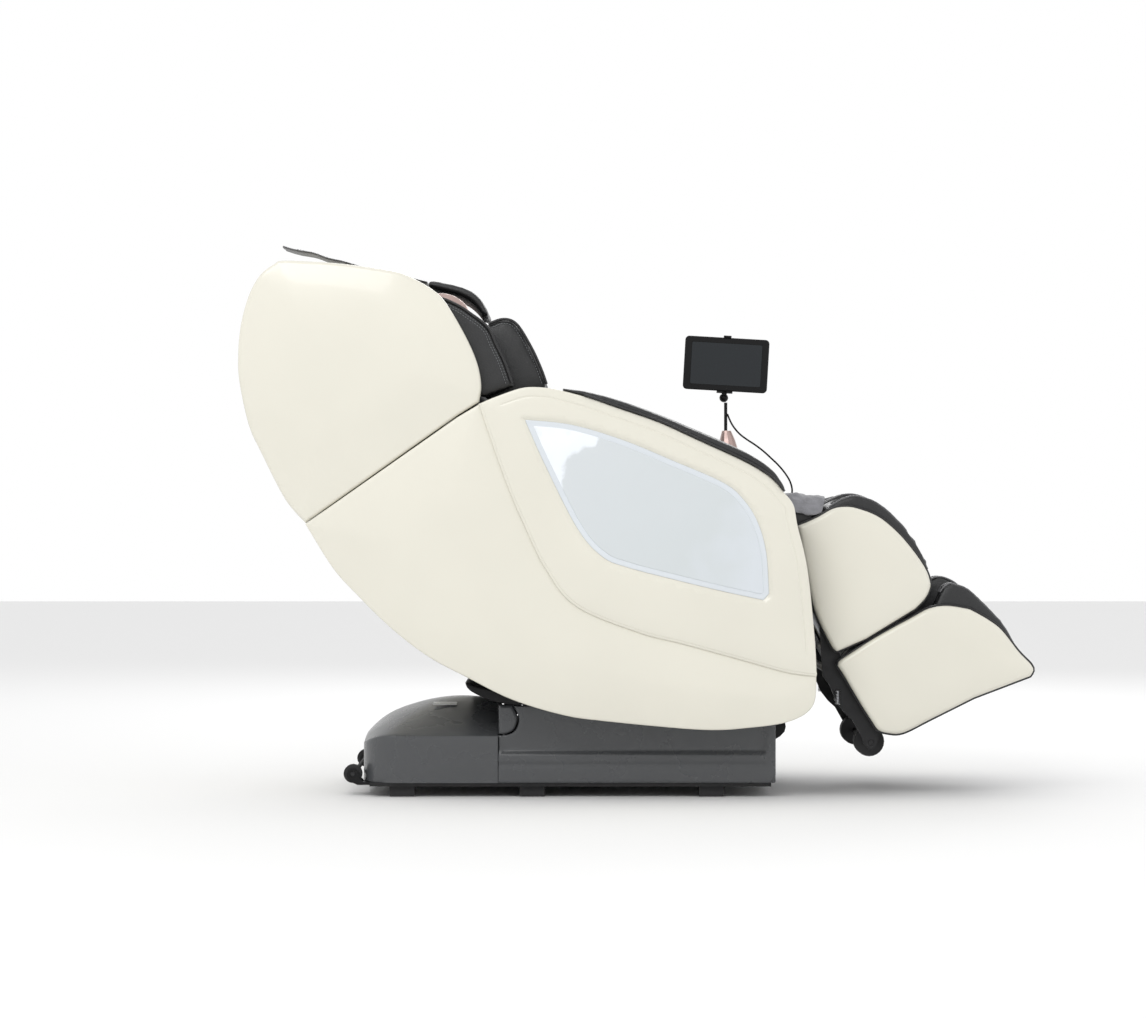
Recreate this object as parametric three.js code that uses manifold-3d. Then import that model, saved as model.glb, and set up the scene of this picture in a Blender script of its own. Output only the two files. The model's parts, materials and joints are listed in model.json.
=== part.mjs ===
// A reclining massage chair: a base with a carriage, a tilting seat body with
// armrests, a hinged back shell, a swinging legrest and a telescoping footrest.
// Millimetres, +Z up, +X towards the feet, -Y on the sitter's right.
import * as THREE from 'three';
import { mergeVertices, mergeGeometries } from 'three/addons/utils/BufferGeometryUtils.js';
import Module from 'manifold-3d';

const wasm = await Module();
wasm.setup();

// ---- driving dimensions ----
const GAP = 0.4;                  // clearance between touching pieces
const HALF_WIDTH = 395;           // outer face of the side casings
const CASING = 60;                // thickness of the side casings
const INNER = HALF_WIDTH - CASING - 4;   // half width between the casings
const LINER_Y = 284;              // inner face of the padded arm walls
const LEG_HALF = 279;             // half width of the legrest and footrest
const LEG_PANEL = 22;             // thickness of their cream side panels
const SEAT_HALF = 272;            // half width of the seat cushion
const BASE_HALF = 280;            // half width of the base
const FLOOR_GAP = 23;             // underside of the base above the floor
const BASE_REAR = -619;
const BASE_SEAM = -312;           // split between the two base covers
const BASE_FRONT = 310;
const CREASE_Z = 139;             // top of the base's side walls
const HINGE = [-173, 532];        // recline axis, X and Z
const KNEE = [340, 556];          // legrest axis, X and Z
const TILT = [-60, 300];          // seat tilt axis, X and Z
const RECLINE = 45;               // lean of the back from vertical, degrees
const LEG_ANGLE = 28.3;           // lean of the legrest from vertical, degrees
const BACK_HALF = 216;            // half width of the back cushion

const rad = THREE.MathUtils.degToRad;
const chair = new THREE.Group();

// ---- materials ----
const finish = (color, roughness, metalness = 0) => new THREE.MeshStandardMaterial({ color, roughness,
  metalness });
const cream = finish(0xdfdccf, 0.3);
const windowGrey = finish(0xd3d8da, 0.1);
const leather = finish(0x34373a, 0.55);
const greyPlastic = finish(0x6b6e70, 0.45);
const blackPlastic = finish(0x232324, 0.5);
const steel = finish(0x3a3a3c, 0.45, 0.8);
const zinc = finish(0xa9abad, 0.35, 0.9);
const roseGold = finish(0xb7a19b, 0.3, 0.8);
const rubber = finish(0x2f2f32, 0.85);
const cloth = finish(0x555557, 0.95);
const screenGlass = finish(0x363a3d, 0.08);

// ---- helpers ----
function add(name, geometry, material, parent = chair) {
  const mesh = new THREE.Mesh(geometry, material);
  mesh.name = name;
  parent.add(mesh);
  return mesh;
}

// Closed outline from runs of [x, z] points that share their end points: a run of
// two points is a straight edge, and a longer run is a smooth curve through them.
function outline(...runs) {
  const shape = new THREE.Shape();
  shape.moveTo(...runs[0][0]);
  for (const run of runs) {
    if (run.length === 2) shape.lineTo(...run[1]);
    else shape.splineThru(run.slice(1).map(([x, z]) => new THREE.Vector2(x, z)));
  }
  return shape;
}

const FINE = { curveSegments: 2 };

// A side outline made solid between two Y planes, with rounded rims.
function slab(shape, y0, y1, round = 0, { curveSegments = 1, bevelSegments = 1 } = {}) {
  const depth = Math.abs(y1 - y0) - 2 * round;
  const options = { depth, curveSegments, bevelEnabled: round > 0, bevelThickness: round,
    bevelSize: round, bevelOffset: -round, bevelSegments, steps: 1 };
  const geometry = new THREE.ExtrudeGeometry(shape, options);
  geometry.rotateX(Math.PI / 2);
  return geometry.translate(0, Math.max(y0, y1) - round, 0);
}

// The same solid as slab, on the right (-Y) or left (+Y) side of the chair.
const sideSlab = (shape, side, inner, outer, round, options) =>
  slab(shape, side * inner, side * outer, round, options);

function block(x0, x1, y0, y1, z0, z1) {
  const geometry = new THREE.BoxGeometry(x1 - x0, y1 - y0, z1 - z0);
  return geometry.translate((x0 + x1) / 2, (y0 + y1) / 2, (z0 + z1) / 2);
}

// Cylinder along Y.
function rod(x, z, radius, y0, y1, segments = 12) {
  const geometry = new THREE.CylinderGeometry(radius, radius, y1 - y0, segments);
  return geometry.translate(x, (y0 + y1) / 2, z);
}

// Solid skinned over rings of equal point count, its two ends closed by fans.
function loft(rings) {
  const count = rings[0].length;
  const positions = rings.flat().flatMap((p) => [p.x, p.y, p.z]);
  const index = [];
  for (let r = 0; r + 1 < rings.length; r++) {
    for (let i = 0; i < count; i++) {
      const a = r * count + i;
      const b = r * count + (i + 1) % count;
      index.push(a, b, b + count, a, b + count, a + count);
    }
  }
  for (const [ring, flip] of [[0, true], [rings.length - 1, false]]) {
    const centre = rings[ring].reduce((sum, p) => sum.add(p), new THREE.Vector3()).divideScalar(count);
    const tip = positions.length / 3;
    positions.push(centre.x, centre.y, centre.z);
    for (let i = 0; i < count; i++) {
      const a = ring * count + i;
      const b = ring * count + (i + 1) % count;
      index.push(...(flip ? [tip, b, a] : [tip, a, b]));
    }
  }
  const geometry = new THREE.BufferGeometry();
  geometry.setAttribute('position', new THREE.Float32BufferAttribute(positions, 3));
  geometry.setIndex(index);
  return geometry;
}

// Positions only, with shared points merged and collapsed triangles dropped.
function bare(geometry) {
  const copy = geometry.clone();
  for (const name of Object.keys(copy.attributes)) if (name !== 'position') copy.deleteAttribute(name);
  const merged = mergeVertices(copy, 1e-3);
  const kept = [];
  for (let i = 0; i < merged.index.count; i += 3) {
    const [a, b, c] = merged.index.array.slice(i, i + 3);
    if (a !== b && b !== c && c !== a) kept.push(a, b, c);
  }
  merged.setIndex(kept);
  return merged;
}

function solid(geometry) {
  const merged = bare(geometry);
  return new wasm.Manifold(new wasm.Mesh({
    numProp: 3,
    vertProperties: new Float32Array(merged.attributes.position.array),
    triVerts: new Uint32Array(merged.index.array),
  }));
}

function fromSolid(manifold) {
  const { vertProperties, triVerts } = manifold.getMesh();
  const geometry = new THREE.BufferGeometry();
  geometry.setAttribute('position', new THREE.BufferAttribute(new Float32Array(vertProperties), 3));
  geometry.setIndex(new THREE.BufferAttribute(new Uint32Array(triVerts), 1));
  return geometry;
}

const cut = (geometry, ...tools) => fromSolid(tools.reduce((body, tool) => body.subtract(solid(tool)),
  solid(geometry)));
const join = (...pieces) => fromSolid(pieces.map(solid).reduce((body, piece) => body.add(piece)));

// ---- base ----
const BASE_TOP_Z = FLOOR_GAP + 8;       // top of the bottom pan
const FOOT = [56, 40];
const FOOT_X = [-528, -236, 167];
const WHEEL = { x: -641, z: 47.5, radius: 21, y: 215 };
const SLIDE_Z = 80;                     // height of the slide actuator

// Cross-section of the rear cover at one X, `inset` inside its outer face.
function coverRing(x, inset, bottom) {
  const t = (x - BASE_REAR) / (BASE_SEAM - BASE_REAR);
  const corner = Math.max(0, 1 - t / 0.3);
  const half = BASE_HALF - 105 * (1 - Math.sqrt(1 - corner * corner)) - inset;
  const side = CREASE_Z - 22 * corner ** 3 - inset;
  const rise = 73 * Math.sin(Math.PI * Math.min(1, 0.06 + 0.62 * t));
  const ring = [new THREE.Vector3(x, half, bottom), new THREE.Vector3(x, -half, bottom)];
  const steps = 8;
  for (let i = 0; i <= steps; i++) {
    const s = -1 + 2 * i / steps;
    ring.push(new THREE.Vector3(x, s * half, side + rise * (1 - s * s)));
  }
  return ring.reverse();
}

function rearCover() {
  const stations = (x0, x1) => Array.from({ length: 8 }, (_, i) =>
    x0 + (x1 - x0) * (1 - Math.cos(Math.PI * i / 14)));
  const end = BASE_SEAM - GAP;
  const outer = loft(stations(BASE_REAR, end).map((x) => coverRing(x, 0, BASE_TOP_Z + GAP)));
  const hollow = loft(stations(BASE_REAR + 5, end + 9).map((x) => coverRing(Math.min(x, end + 9), 5, 0)));
  return cut(outer, hollow);
}

function frontCover() {
  const low = BASE_TOP_Z + GAP;
  const high = 205;
  const wall = outline([[BASE_SEAM, low], [BASE_SEAM, CREASE_Z - 1]],
    [[BASE_SEAM, CREASE_Z - 1], [-292, 139], [-273, 149], [-265, 177], [-278, high]],
    [[-278, high], [290, high]], [[290, high], [304, 199], [BASE_FRONT, 184]],
    [[BASE_FRONT, 184], [BASE_FRONT, low]], [[BASE_FRONT, low], [BASE_SEAM, low]]);
  const walls = [-1, 1].map((side) => sideSlab(wall, side, BASE_HALF - 9, BASE_HALF, 2));
  return join(...walls, block(BASE_FRONT - 9, BASE_FRONT, 4 - BASE_HALF, BASE_HALF - 4, low, 165));
}

function transportWheel(side) {
  return rod(WHEEL.x, WHEEL.z, WHEEL.radius, side * WHEEL.y - 9, side * WHEEL.y + 9, 20);
}

function wheelBrackets() {
  const cheek = outline([[-600.4, FLOOR_GAP], [-600.4, 30.6]], [[-600.4, 30.6], [-621, 31], [-624, 44],
    [-632, 56]],
    [[-632, 56], [WHEEL.x, 60], [-652, 54], [-654, 42], [-646, 31], [-630, FLOOR_GAP]],
    [[-630, FLOOR_GAP], [-600.4, FLOOR_GAP]]);
  const cheeks = [-1, 1].flatMap((side) => [-15, 15].map((step) =>
    sideSlab(cheek, side, WHEEL.y + step - 4, WHEEL.y + step + 4, 0)));
  const strip = block(-618, -601, -WHEEL.y - 15, WHEEL.y + 15, FLOOR_GAP + 0.5, 30);
  return cut(join(...cheeks, strip), rod(WHEEL.x, WHEEL.z, 5.7, -WHEEL.y - 25, WHEEL.y + 25, 16));
}

function base() {
  add('base_plate', block(-600, 300, -BASE_HALF + 8, BASE_HALF - 8, FLOOR_GAP, BASE_TOP_Z), steel);
  add('base_cover_rear', rearCover(), greyPlastic);
  add('base_cover_front', frontCover(), greyPlastic);
  add('front_stop', slab(outline([[BASE_FRONT + GAP, 121], [BASE_FRONT + GAP, 164]],
    [[BASE_FRONT + GAP, 164], [336, 164]], [[336, 164], [338, 148], [330, 134], [BASE_FRONT + GAP, 121]]),
  -200, 200, 0), blackPlastic);
  const pads = FOOT_X.flatMap((x) => [-240, 240].map((y) =>
    block(x - FOOT[0] / 2, x + FOOT[0] / 2, y - FOOT[1] / 2, y + FOOT[1] / 2, 0, FLOOR_GAP - GAP)));
  const webs = FOOT_X.map((x) => block(x - 12, x + 12, -230, 230, 18, FLOOR_GAP - GAP));
  add('levelling_feet', join(...pads, ...webs, block(FOOT_X[0], FOOT_X[2], -12, 12, 18, FLOOR_GAP - GAP)),
    rubber);
  const low = BASE_TOP_Z + GAP;
  const rails = [-200, 200].map((y) => block(-305, 285, y - 15, y + 15, low, 60));
  add('guide_rails', join(...rails, ...[-305, 265].map((x) => block(x, x + 20, -190, 190, low, low + 5))),
    zinc);
  add('control_box', block(-570, -430, -130, 130, BASE_TOP_Z + GAP, 122), blackPlastic);
  add('wheel_brackets', wheelBrackets(), blackPlastic);
  const bore = new THREE.CylinderGeometry(12, 12, 260, 16).rotateZ(Math.PI / 2).translate(-155, 0, SLIDE_Z);
  const barrel = new THREE.CylinderGeometry(21, 21, 245, 16).rotateZ(Math.PI / 2).translate(-175, 0,
    SLIDE_Z);
  add('slide_actuator', join(cut(barrel, bore), block(-284, -250, -18, 18, BASE_TOP_Z + GAP, 66)), steel);
  add('transport_wheels', join(transportWheel(-1), transportWheel(1),
    rod(WHEEL.x, WHEEL.z, 5, -WHEEL.y - 18, WHEEL.y + 18, 14)), rubber);
  const inlet = block(BASE_REAR - 7, BASE_REAR - GAP, 110, 170, 60, 100);
  add('power_inlet', cut(inlet, block(BASE_REAR - 9, BASE_REAR - 2, 116, 134, 66, 94)), blackPlastic);
  add('power_switch', slab(outline([[BASE_REAR - 4.5, 69], [BASE_REAR - 10, 70]],
    [[BASE_REAR - 10, 70], [BASE_REAR - 8, 80], [BASE_REAR - 10, 90]],
    [[BASE_REAR - 10, 90], [BASE_REAR - 4.5, 91]], [[BASE_REAR - 4.5, 91], [BASE_REAR - 4.5, 69]]), 118,
      132), rubber);
}

// ---- carriage: slides along the base and carries the tilt axis ----
const EAR_Y = 222;
function carriage() {
  const low = 60 + GAP;
  const beams = [-1, 1].map((side) => block(-200, 240, side * 205 - 27, side * 205 + 27, low, 100));
  const ear = outline([[-190, 98], [TILT[0] - 16, TILT[1] + 4]],
    [[TILT[0] - 16, TILT[1] + 4], [TILT[0], TILT[1] + 22], [TILT[0] + 16, TILT[1] + 4]],
    [[TILT[0] + 16, TILT[1] + 4], [90, 98]], [[90, 98], [-190, 98]]);
  const ears = [-1, 1].map((side) => sideSlab(ear, side, EAR_Y, EAR_Y + 8, 0));
  const pins = [-1, 1].map((side) => rod(...TILT, 12, side * 234 - 14, side * 234 + 14, 18));
  const plunger = new THREE.CylinderGeometry(10, 10, 400, 12).rotateZ(Math.PI / 2).translate(9, 0, SLIDE_Z);
  add('carriage_frame', join(...beams, block(200, 238, -180, 180, low, 98),
    block(-198, -170, -180, 180, 104, 124), block(-198, -170, -228, -170, 98, 124),
    block(-198, -170, 170, 228, 98, 124), ...ears, ...pins, plunger), steel);
}

// ---- seat body ----
const SIDES = [['right', -1], ['left', 1]];
const SEAM_REAR = [-734, 611];
const SEAM_FRONT = [HINGE[0] - 175, 878];
const GROOVE_END = [393, 280];
const groove = [SEAM_FRONT, [-289, 709], [-245, 605], [-201, 515], [-135, 434], [1, 377],
  [98, 352], [226, 317], [327, 289], GROOVE_END];
const armTop = [[-190, 911], [-120, 893], [-41, 866], [47, 835], [135, 795], [223, 755],
  [267, 731], [298, 708], [322, 680]];
const lift = (points, dx, dz) => points.map(([x, z]) => [x + dx, z + dz]);

function lowerCasing(side) {
  const shape = outline([SEAM_REAR, [-674, 515], [-621, 456], [-542, 379], [-463, 319], [-377, 273],
    [-280, 225], [-173, 192], [-85, 178], [135, 158], [243, 162], [336, 177], [386, 212], GROOVE_END],
  lift([...groove].reverse(), -0.5, -1), [lift([SEAM_FRONT], -0.5, -1)[0], SEAM_REAR]);
  return sideSlab(shape, side, HALF_WIDTH - CASING, HALF_WIDTH, 4, FINE);
}

const windowShape = () => outline([[-252, 843], [-148, 832], [-36, 799], [76, 753], [188, 704], [234, 665],
  [265, 614], [283, 548], [289, 458]], [[289, 458], [276, 443]],
[[276, 443], [188, 462], [76, 489], [-27, 516], [-80, 539], [-135, 601], [-206, 740], [-252, 843]]);

function armCasing(side) {
  const shape = outline(groove, [GROOVE_END, [389, 357], [373, 511], [351, 608], [342, 654], [322, 680]],
    [...armTop].reverse(), [[-190, 911], [-250, 913], [-313, 893], SEAM_FRONT]);
  const pocket = sideSlab(windowShape(), side, HALF_WIDTH - 7, HALF_WIDTH + 5, 0);
  return cut(sideSlab(shape, side, HALF_WIDTH - CASING, HALF_WIDTH, 4, FINE), pocket);
}

function armWindow(side) {
  const pane = sideSlab(windowShape(), side, HALF_WIDTH - 6.6, HALF_WIDTH - 2, 1);
  const middle = [20, 640];
  const shrink = 0.995;
  return pane.translate(-middle[0], 0, -middle[1]).scale(shrink, 1, shrink).translate(middle[0], 0,
    middle[1]);
}

function armPad(side) {
  const top = [[-172, 914], [-120, 907], [-67, 894], [-14, 877], [39, 856], [91, 835], [135, 815],
    [223, 779], [267, 755], [298, 733], [322, 699], [328, 684]];
  const under = lift([...armTop].slice(1).reverse(), 0, 1.2);
  return sideSlab(outline([[-176, 909], top[0]], top, [top.at(-1), under[0]], under,
    [under.at(-1), [-176, 909]]), side, 290, 388, 0);
}

function armLiner(side) {
  const top = lift(armTop.slice(3).reverse(), 0, -2);
  return sideSlab(outline([[-30, 560], [326, 600]], [[326, 600], top[0]], top, [top.at(-1), [-30, 855]],
    [[-30, 855], [-30, 560]]), side, LINER_Y, INNER, 0);
}

function seatFrame() {
  const plate = outline([[-92, 288], [-192, 505]], [[-192, 505], [-197, 535], [-173, 556], [-148, 544],
    [-136, 522]],
    [[-136, 522], [-75, 524]], [[-75, 524], [285, 584]], [[285, 584], [322, 577], [358, 563], [350, 532]],
    [[350, 532], [-20, 288]], [[-20, 288], [-60, 272], [-92, 288]]);
  const holes = [-1, 1].map((side) => rod(...TILT, 12.7, side * 240 - 9, side * 240 + 9, 20));
  const plates = [-1, 1].map((side, i) => cut(sideSlab(plate, side, 236, 244, 0), holes[i]));
  const tray = slab(outline([[-72, 509], [282, 569]], [[282, 569], [282, 583]], [[282, 583], [-72, 523]],
    [[-72, 523], [-72, 509]]), -270, 270);
  const tubes = [[200, 506], [-40, 395]].map(([x, z]) => rod(x, z, 13, -INNER, INNER));
  const pins = [HINGE, KNEE].flatMap(([x, z]) => [-1, 1].map((side) =>
    rod(x, z, 9, side * 232 - 13, side * 232 + 13, 16)));
  return join(...plates, tray, ...tubes, ...pins);
}

const bandShape = (outer, inner) => outline(outer, [outer.at(-1), inner[0]], inner, [inner.at(-1),
  outer[0]]);

function lowerRearCover() {
  const outer = [[-727, 606], [-671, 519], [-618, 460], [-540, 383], [-461, 324], [-377, 279]];
  return slab(bandShape(outer, [[-372, 290], [-454, 336], [-532, 394], [-608, 470], [-660, 527],
    [-716, 612]]),
    -INNER, INNER);
}

function seat() {
  for (const [name, side] of SIDES) {
    add(`lower_casing_${name}`, lowerCasing(side), cream);
    add(`armrest_casing_${name}`, armCasing(side), cream);
    add(`arm_window_${name}`, armWindow(side), windowGrey);
    add(`arm_pad_${name}`, armPad(side), leather);
    add(`arm_liner_${name}`, armLiner(side), leather);
  }
  add('lower_rear_cover', lowerRearCover(), cream);
  add('seat_frame', seatFrame(), steel);
  add('seat_cushion', slab(outline([[-75, 531], [-75, 598]], [[-75, 598], [0, 616], [140, 646],
    [238, 664], [270, 652],
    [285, 622]], [[285, 622], [285, 592]], [[285, 592], [-75, 531]]), -SEAT_HALF, SEAT_HALF, 8), leather);
}

// ---- tablet, its stand and its lead, on the left armrest ----
const STAND = { x: 229, y: 334, top: 905 };
const TABLET = { width: 205, height: 130, thick: 12, z: 997, roll: 3.3 };
const LEAD_RADIUS = 2.2;
// Route of the lead, from the stalk to the grommet in the armrest's nose.
const leadRoute = [[233, 328.5, 877], [238, 328, 864], [247, 328, 847], [262, 328, 829], [280, 328, 815],
  [300, 329, 802], [320, 330, 787], [340, 332, 769], [358, 335, 752], [374, 338, 733], [386, 342, 714],
  [392, 347, 695], [391, 352, 678], [383, 356, 664], [370, 359, 656], [356, 360, 653]];

function tabletStand() {
  const boot = loft([[212, 262, 0], [213, 259, 12], [216, 252, 30],
    [220, 242, 50]].map(([x0, x1, rise]) => {
    const lean = (x) => 786 - 0.455 * (x - 237) * (1 - rise / 50) + rise;
    const half = 24 - rise * 0.25;
    return Array.from({ length: 12 }, (_, i) => {
      const a = 2 * Math.PI * i / 12;
      const x = (x0 + x1) / 2 + Math.cos(a) * (x1 - x0) / 2;
      return new THREE.Vector3(x, STAND.y + Math.sin(a) * half, lean(x));
    });
  }));
  add('tablet_base', boot, roseGold);
  add('tablet_stalk', new THREE.CylinderGeometry(4, 4, STAND.top - 836.4, 12).rotateX(Math.PI / 2)
    .translate(STAND.x, STAND.y, (STAND.top + 836.4) / 2), blackPlastic);
}

function tablet() {
  const { width, height, thick, z, roll } = TABLET;
  const round = (w, h, r) => {
    const s = new THREE.Shape();
    s.moveTo(-w / 2 + r, -h / 2);
    for (const [cx, cy, start] of [[1, -1, -0.5], [1, 1, 0], [-1, 1, 0.5], [-1, -1, 1]]) {
      s.absarc(cx * (w / 2 - r), cy * (h / 2 - r), r, start * Math.PI, (start + 0.5) * Math.PI);
    }
    return s;
  };
  const group = new THREE.Group();
  group.position.set(STAND.x, STAND.y - 20, z);
  group.rotation.y = rad(roll);
  chair.add(group);
  const pane = slab(round(width - 34, height - 28, 4), -thick / 2 - 0.5, -thick / 2 + 2, 0,
    { curveSegments: 2 });
  const body = slab(round(width, height, 10), -thick / 2, thick / 2, 2, { curveSegments: 3 });
  const well = slab(round(width - 33, height - 27, 4.5), -thick / 2 - 3, -thick / 2 + 2.4, 0,
    { curveSegments: 2 });
  add('tablet_case', cut(body, well), blackPlastic, group);
  add('tablet_screen', pane, screenGlass, group);
  const arm = block(-9, 9, thick / 2 + GAP, thick / 2 + 8, -height / 2 - 4, height / 2 + 4);
  const lips = [[-9, 9, height / 2 + GAP], [-19, -5, -height / 2 - 5],
    [5, 19, -height / 2 - 5]].map(([x0, x1, low]) =>
    block(x0, x1, -thick / 2 - 3, thick / 2 + 8, low, low + 5 - GAP));
  const foot = block(-19, 19, thick / 2 + GAP, thick / 2 + 8, -height / 2 - 5, -height / 2 + 14);
  const neck = block(-6, 6, thick / 2 + 1, thick / 2 + 8, -height / 2 - 10, -height / 2 + 5);
  const ball = new THREE.SphereGeometry(11, 12, 8).translate(0, 20, STAND.top + 11 + GAP - z);
  add('tablet_clamp', join(arm, foot, neck, ball, ...lips), blackPlastic, group);
}

function lead() {
  const curve = new THREE.CatmullRomCurve3(leadRoute.map((p) => new THREE.Vector3(...p)), false,
    'centripetal');
  const section = new THREE.Shape().absarc(0, 0, LEAD_RADIUS, 0, 2 * Math.PI);
  add('tablet_lead', new THREE.ExtrudeGeometry(section, { steps: 40, curveSegments: 4,
    extrudePath: curve }), blackPlastic);
  add('lead_grommet', rodAlongX(345.5, 355.5, 360, 653, 8), rubber);
}

const rodAlongX = (x0, x1, y, z, radius) =>
  new THREE.CylinderGeometry(radius, radius, x1 - x0, 16).rotateZ(Math.PI / 2).translate((x0 + x1) / 2, y,
    z);

// ---- back: turns about HINGE ----
// Point at height `u` along the back and `n` in front of the hinge line.
function backPoint(u, n) {
  const lean = rad(RECLINE);
  return [HINGE[0] - u * Math.sin(lean) + n * Math.cos(lean),
    HINGE[1] + u * Math.cos(lean) + n * Math.sin(lean)];
}
const backRun = (...points) => points.map(([u, n]) => backPoint(u, n));

function backShell(side) {
  const seamRear = [SEAM_REAR[0] - 1, SEAM_REAR[1] + 3];
  const seamFront = [SEAM_FRONT[0] - 4, SEAM_FRONT[1] + 3];
  const seamBow = [-400, 851];      // keeps the edge clear of the arm crest as the back rises
  const shape = outline([seamRear, [-780, 667], [-833, 770], [-860, 830], [-880, 920], [-884, 980],
    [-878, 1050],
    [-860, 1117], [-834, 1163], [-800, 1189]], [[-800, 1189], [-780, 1194], [-668, 1188], [-569, 1175],
      [-516, 1163],
    [-459, 1133], [-426, 1102], [-383, 1030], [-356, 968], [-347, 918], seamFront], [seamFront, seamBow],
      [seamBow, seamRear]);
  return sideSlab(shape, side, HALF_WIDTH - CASING, HALF_WIDTH, 8, FINE);
}

function backShellRear() {
  const outer = [[-728, 618], [-773, 670], [-826, 772], [-853, 832], [-873, 921], [-877, 980], [-871, 1048],
    [-853, 1113], [-828, 1157], [-798, 1181], [-668, 1182], [-569, 1169], [-540, 1163]];
  const inner = [[-542, 1150], [-571, 1156], [-668, 1168], [-790, 1166], [-816, 1148], [-840, 1108],
    [-857, 1046],
    [-863, 980], [-859, 923], [-840, 836], [-813, 777], [-762, 678], [-718, 626]];
  return slab(bandShape(outer, inner), -INNER, INNER);
}

function backFrame() {
  const rail = outline(backRun([0, -18], [-14, -12], [-18, 0], [-12, 14], [0, 18]), backRun([0, 18],
    [700, 22]),
    backRun([700, 22], [700, -62]), backRun([700, -62], [70, -62]), backRun([70, -62], [0, -18]));
  const hole = (side) => rod(...HINGE, 9.7, side * 226 - 8, side * 226 + 8, 18);
  const rails = [-1, 1].map((side) => cut(sideSlab(rail, side, 222, 230, 0), hole(side)));
  const tube = (u, half) => rod(...backPoint(u, -50), 10, -half, half);
  return join(...rails, tube(80, 226), tube(400, INNER), tube(670, INNER));
}

function bolster(side) {
  const front = [[-505, 1122], [-440, 1118], [-400, 1102], [-370, 1083], [-331, 1052], [-311, 1011],
    [-293, 974], [-276, 926]];
  const arc = [104, 108, 112, 116].map((a) => [HINGE[0] + 396 * Math.cos(rad(a)),
    HINGE[1] + 396 * Math.sin(rad(a))]);
  return sideSlab(outline(front, [front.at(-1), ...arc], [arc.at(-1), [-400, 935], [-480, 1020], front[0]]),
    side, 276, INNER, 3);
}

function shoulderPad(side) {
  return sideSlab(outline([[-335, 1063], [-300, 1074], [-268, 1062], [-235, 1010], [-212, 960],
    [-200, 926]],
    [[-200, 926], [-215, 890]], [[-215, 890], [-290, 862], [-355, 905]], [[-355, 905], [-372, 1010],
      [-335, 1063]]),
  side, 222, 272, 3);
}

function headPillow() {
  const upper = [[-478, 1170], [-428, 1160], [-389, 1150], [-362, 1134], [-346, 1113], [-331, 1084]];
  const lower = [[-350, 1078], [-362, 1098], [-378, 1115], [-400, 1129], [-432, 1138], [-480, 1149]];
  return slab(bandShape(upper, lower), -150, 150, 6);
}

function pillowStrap() {
  const upper = [[-816, 1255], [-800, 1250], [-750, 1240], [-697, 1224], [-590, 1197], [-481, 1171]];
  const lower = lift([...upper].reverse().slice(0, -1), 0, -5);
  return slab(bandShape(upper, [...lower, [-819, 1248]]), -110, 110);
}

function speaker(side) {
  const dome = new THREE.SphereGeometry(1, 16, 6, 0, 2 * Math.PI, 0, Math.PI / 2);
  const cap = mergeGeometries([dome, new THREE.CircleGeometry(1, 16).rotateX(Math.PI / 2)].map(bare));
  cap.rotateX(Math.PI / 2).scale(52, 24, 34).rotateY(rad(25));
  return cap.translate(-425, side * 245, 1093);
}

function back() {
  for (const [name, side] of SIDES) {
    add(`back_shell_${name}`, backShell(side), cream);
    add(`bolster_${name}`, bolster(side), leather);
    add(`shoulder_pad_${name}`, shoulderPad(side), leather);
    add(`speaker_${name}`, speaker(side), roseGold);
  }
  add('back_shell_rear', backShellRear(), cream);
  add('back_frame', backFrame(), steel);
  add('back_cushion', slab(outline(backRun([92, 62], [92, 90], [180, 135], [300, 152], [490, 150]),
    backRun([490, 150], [490, 62]), backRun([490, 62], [92, 62])), -BACK_HALF, BACK_HALF, 8), leather);
  add('headrest', slab(outline(backRun([495, 62], [495, 190]), backRun([495, 190], [540, 225], [610, 222],
    [668, 170]),
    backRun([668, 170], [668, 62]), backRun([668, 62], [495, 62])), -200, 200, 10), leather);
  add('head_pillow', headPillow(), leather);
  add('pillow_strap', pillowStrap(), leather);
}

// ---- massage carriage: climbs the back frame ----
function massageUnit() {
  const start = 170;
  const axleU = start + 75;
  const box = (u0, u1, n0, n1, y0, y1) => slab(outline(backRun([u0, n0], [u0, n1]), backRun([u0, n1],
    [u1, n1]),
    backRun([u1, n1], [u1, n0]), backRun([u1, n0], [u0, n0])), y0, y1);
  const [x, z] = backPoint(axleU, 28);
  const ears = [-120, 120].flatMap((y) =>
    [rod(x, z, 14, y - 8, y + 8), box(axleU - 13, axleU + 13, -8, 28, y - 8, y + 8)]);
  const shoes = [start + 12, start + 112].flatMap((u) => [[-221.4, -160], [160, 221.4]].map(([y0, y1]) =>
    box(u, u + 26, -26, -9, y0, y1)));
  add('massage_carriage', join(box(start, start + 150, -30, -6, -170, 170), ...ears, ...shoes), steel);
  const rollers = [-75, 75].map((y) => rod(x, z, 28, y - 17, y + 17, 20));
  add('massage_rollers', join(rod(x, z, 6, -111, 111), ...rollers), blackPlastic);
}

// ---- legrest and footrest: turn about KNEE, the footrest slides on down the leg ----
const down = [Math.sin(rad(LEG_ANGLE)), -Math.cos(rad(LEG_ANGLE))];
const calfOutline = () => outline([[360, 607], [402, 625], [438, 645], [465, 650], [492, 647], [539, 629],
  [581, 596],
  [617, 555], [646, 513], [657, 484], [657, 466], [646, 444], [624, 421]], [[624, 421], [514, 354]],
[[514, 354], [462, 331], [447, 326], [436, 338]], [[436, 338], [395, 430], [360, 607]]);
const footOutline = () => outline([[452, 302], [459, 308]], [[459, 308], [534, 356], [619, 403], [653, 421],
  [691, 428], [731, 423], [756, 415], [812, 379], [856, 325], [884, 296], [889, 282], [882, 270]],
[[882, 270], [756, 222]], [[756, 222], [660, 174], [597, 143], [563, 142], [541, 149], [530, 164]],
[[530, 164], [503, 206], [464, 272], [450, 294], [452, 302]]);
const CHANNELS = [[-200, -40], [40, 200]];

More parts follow.
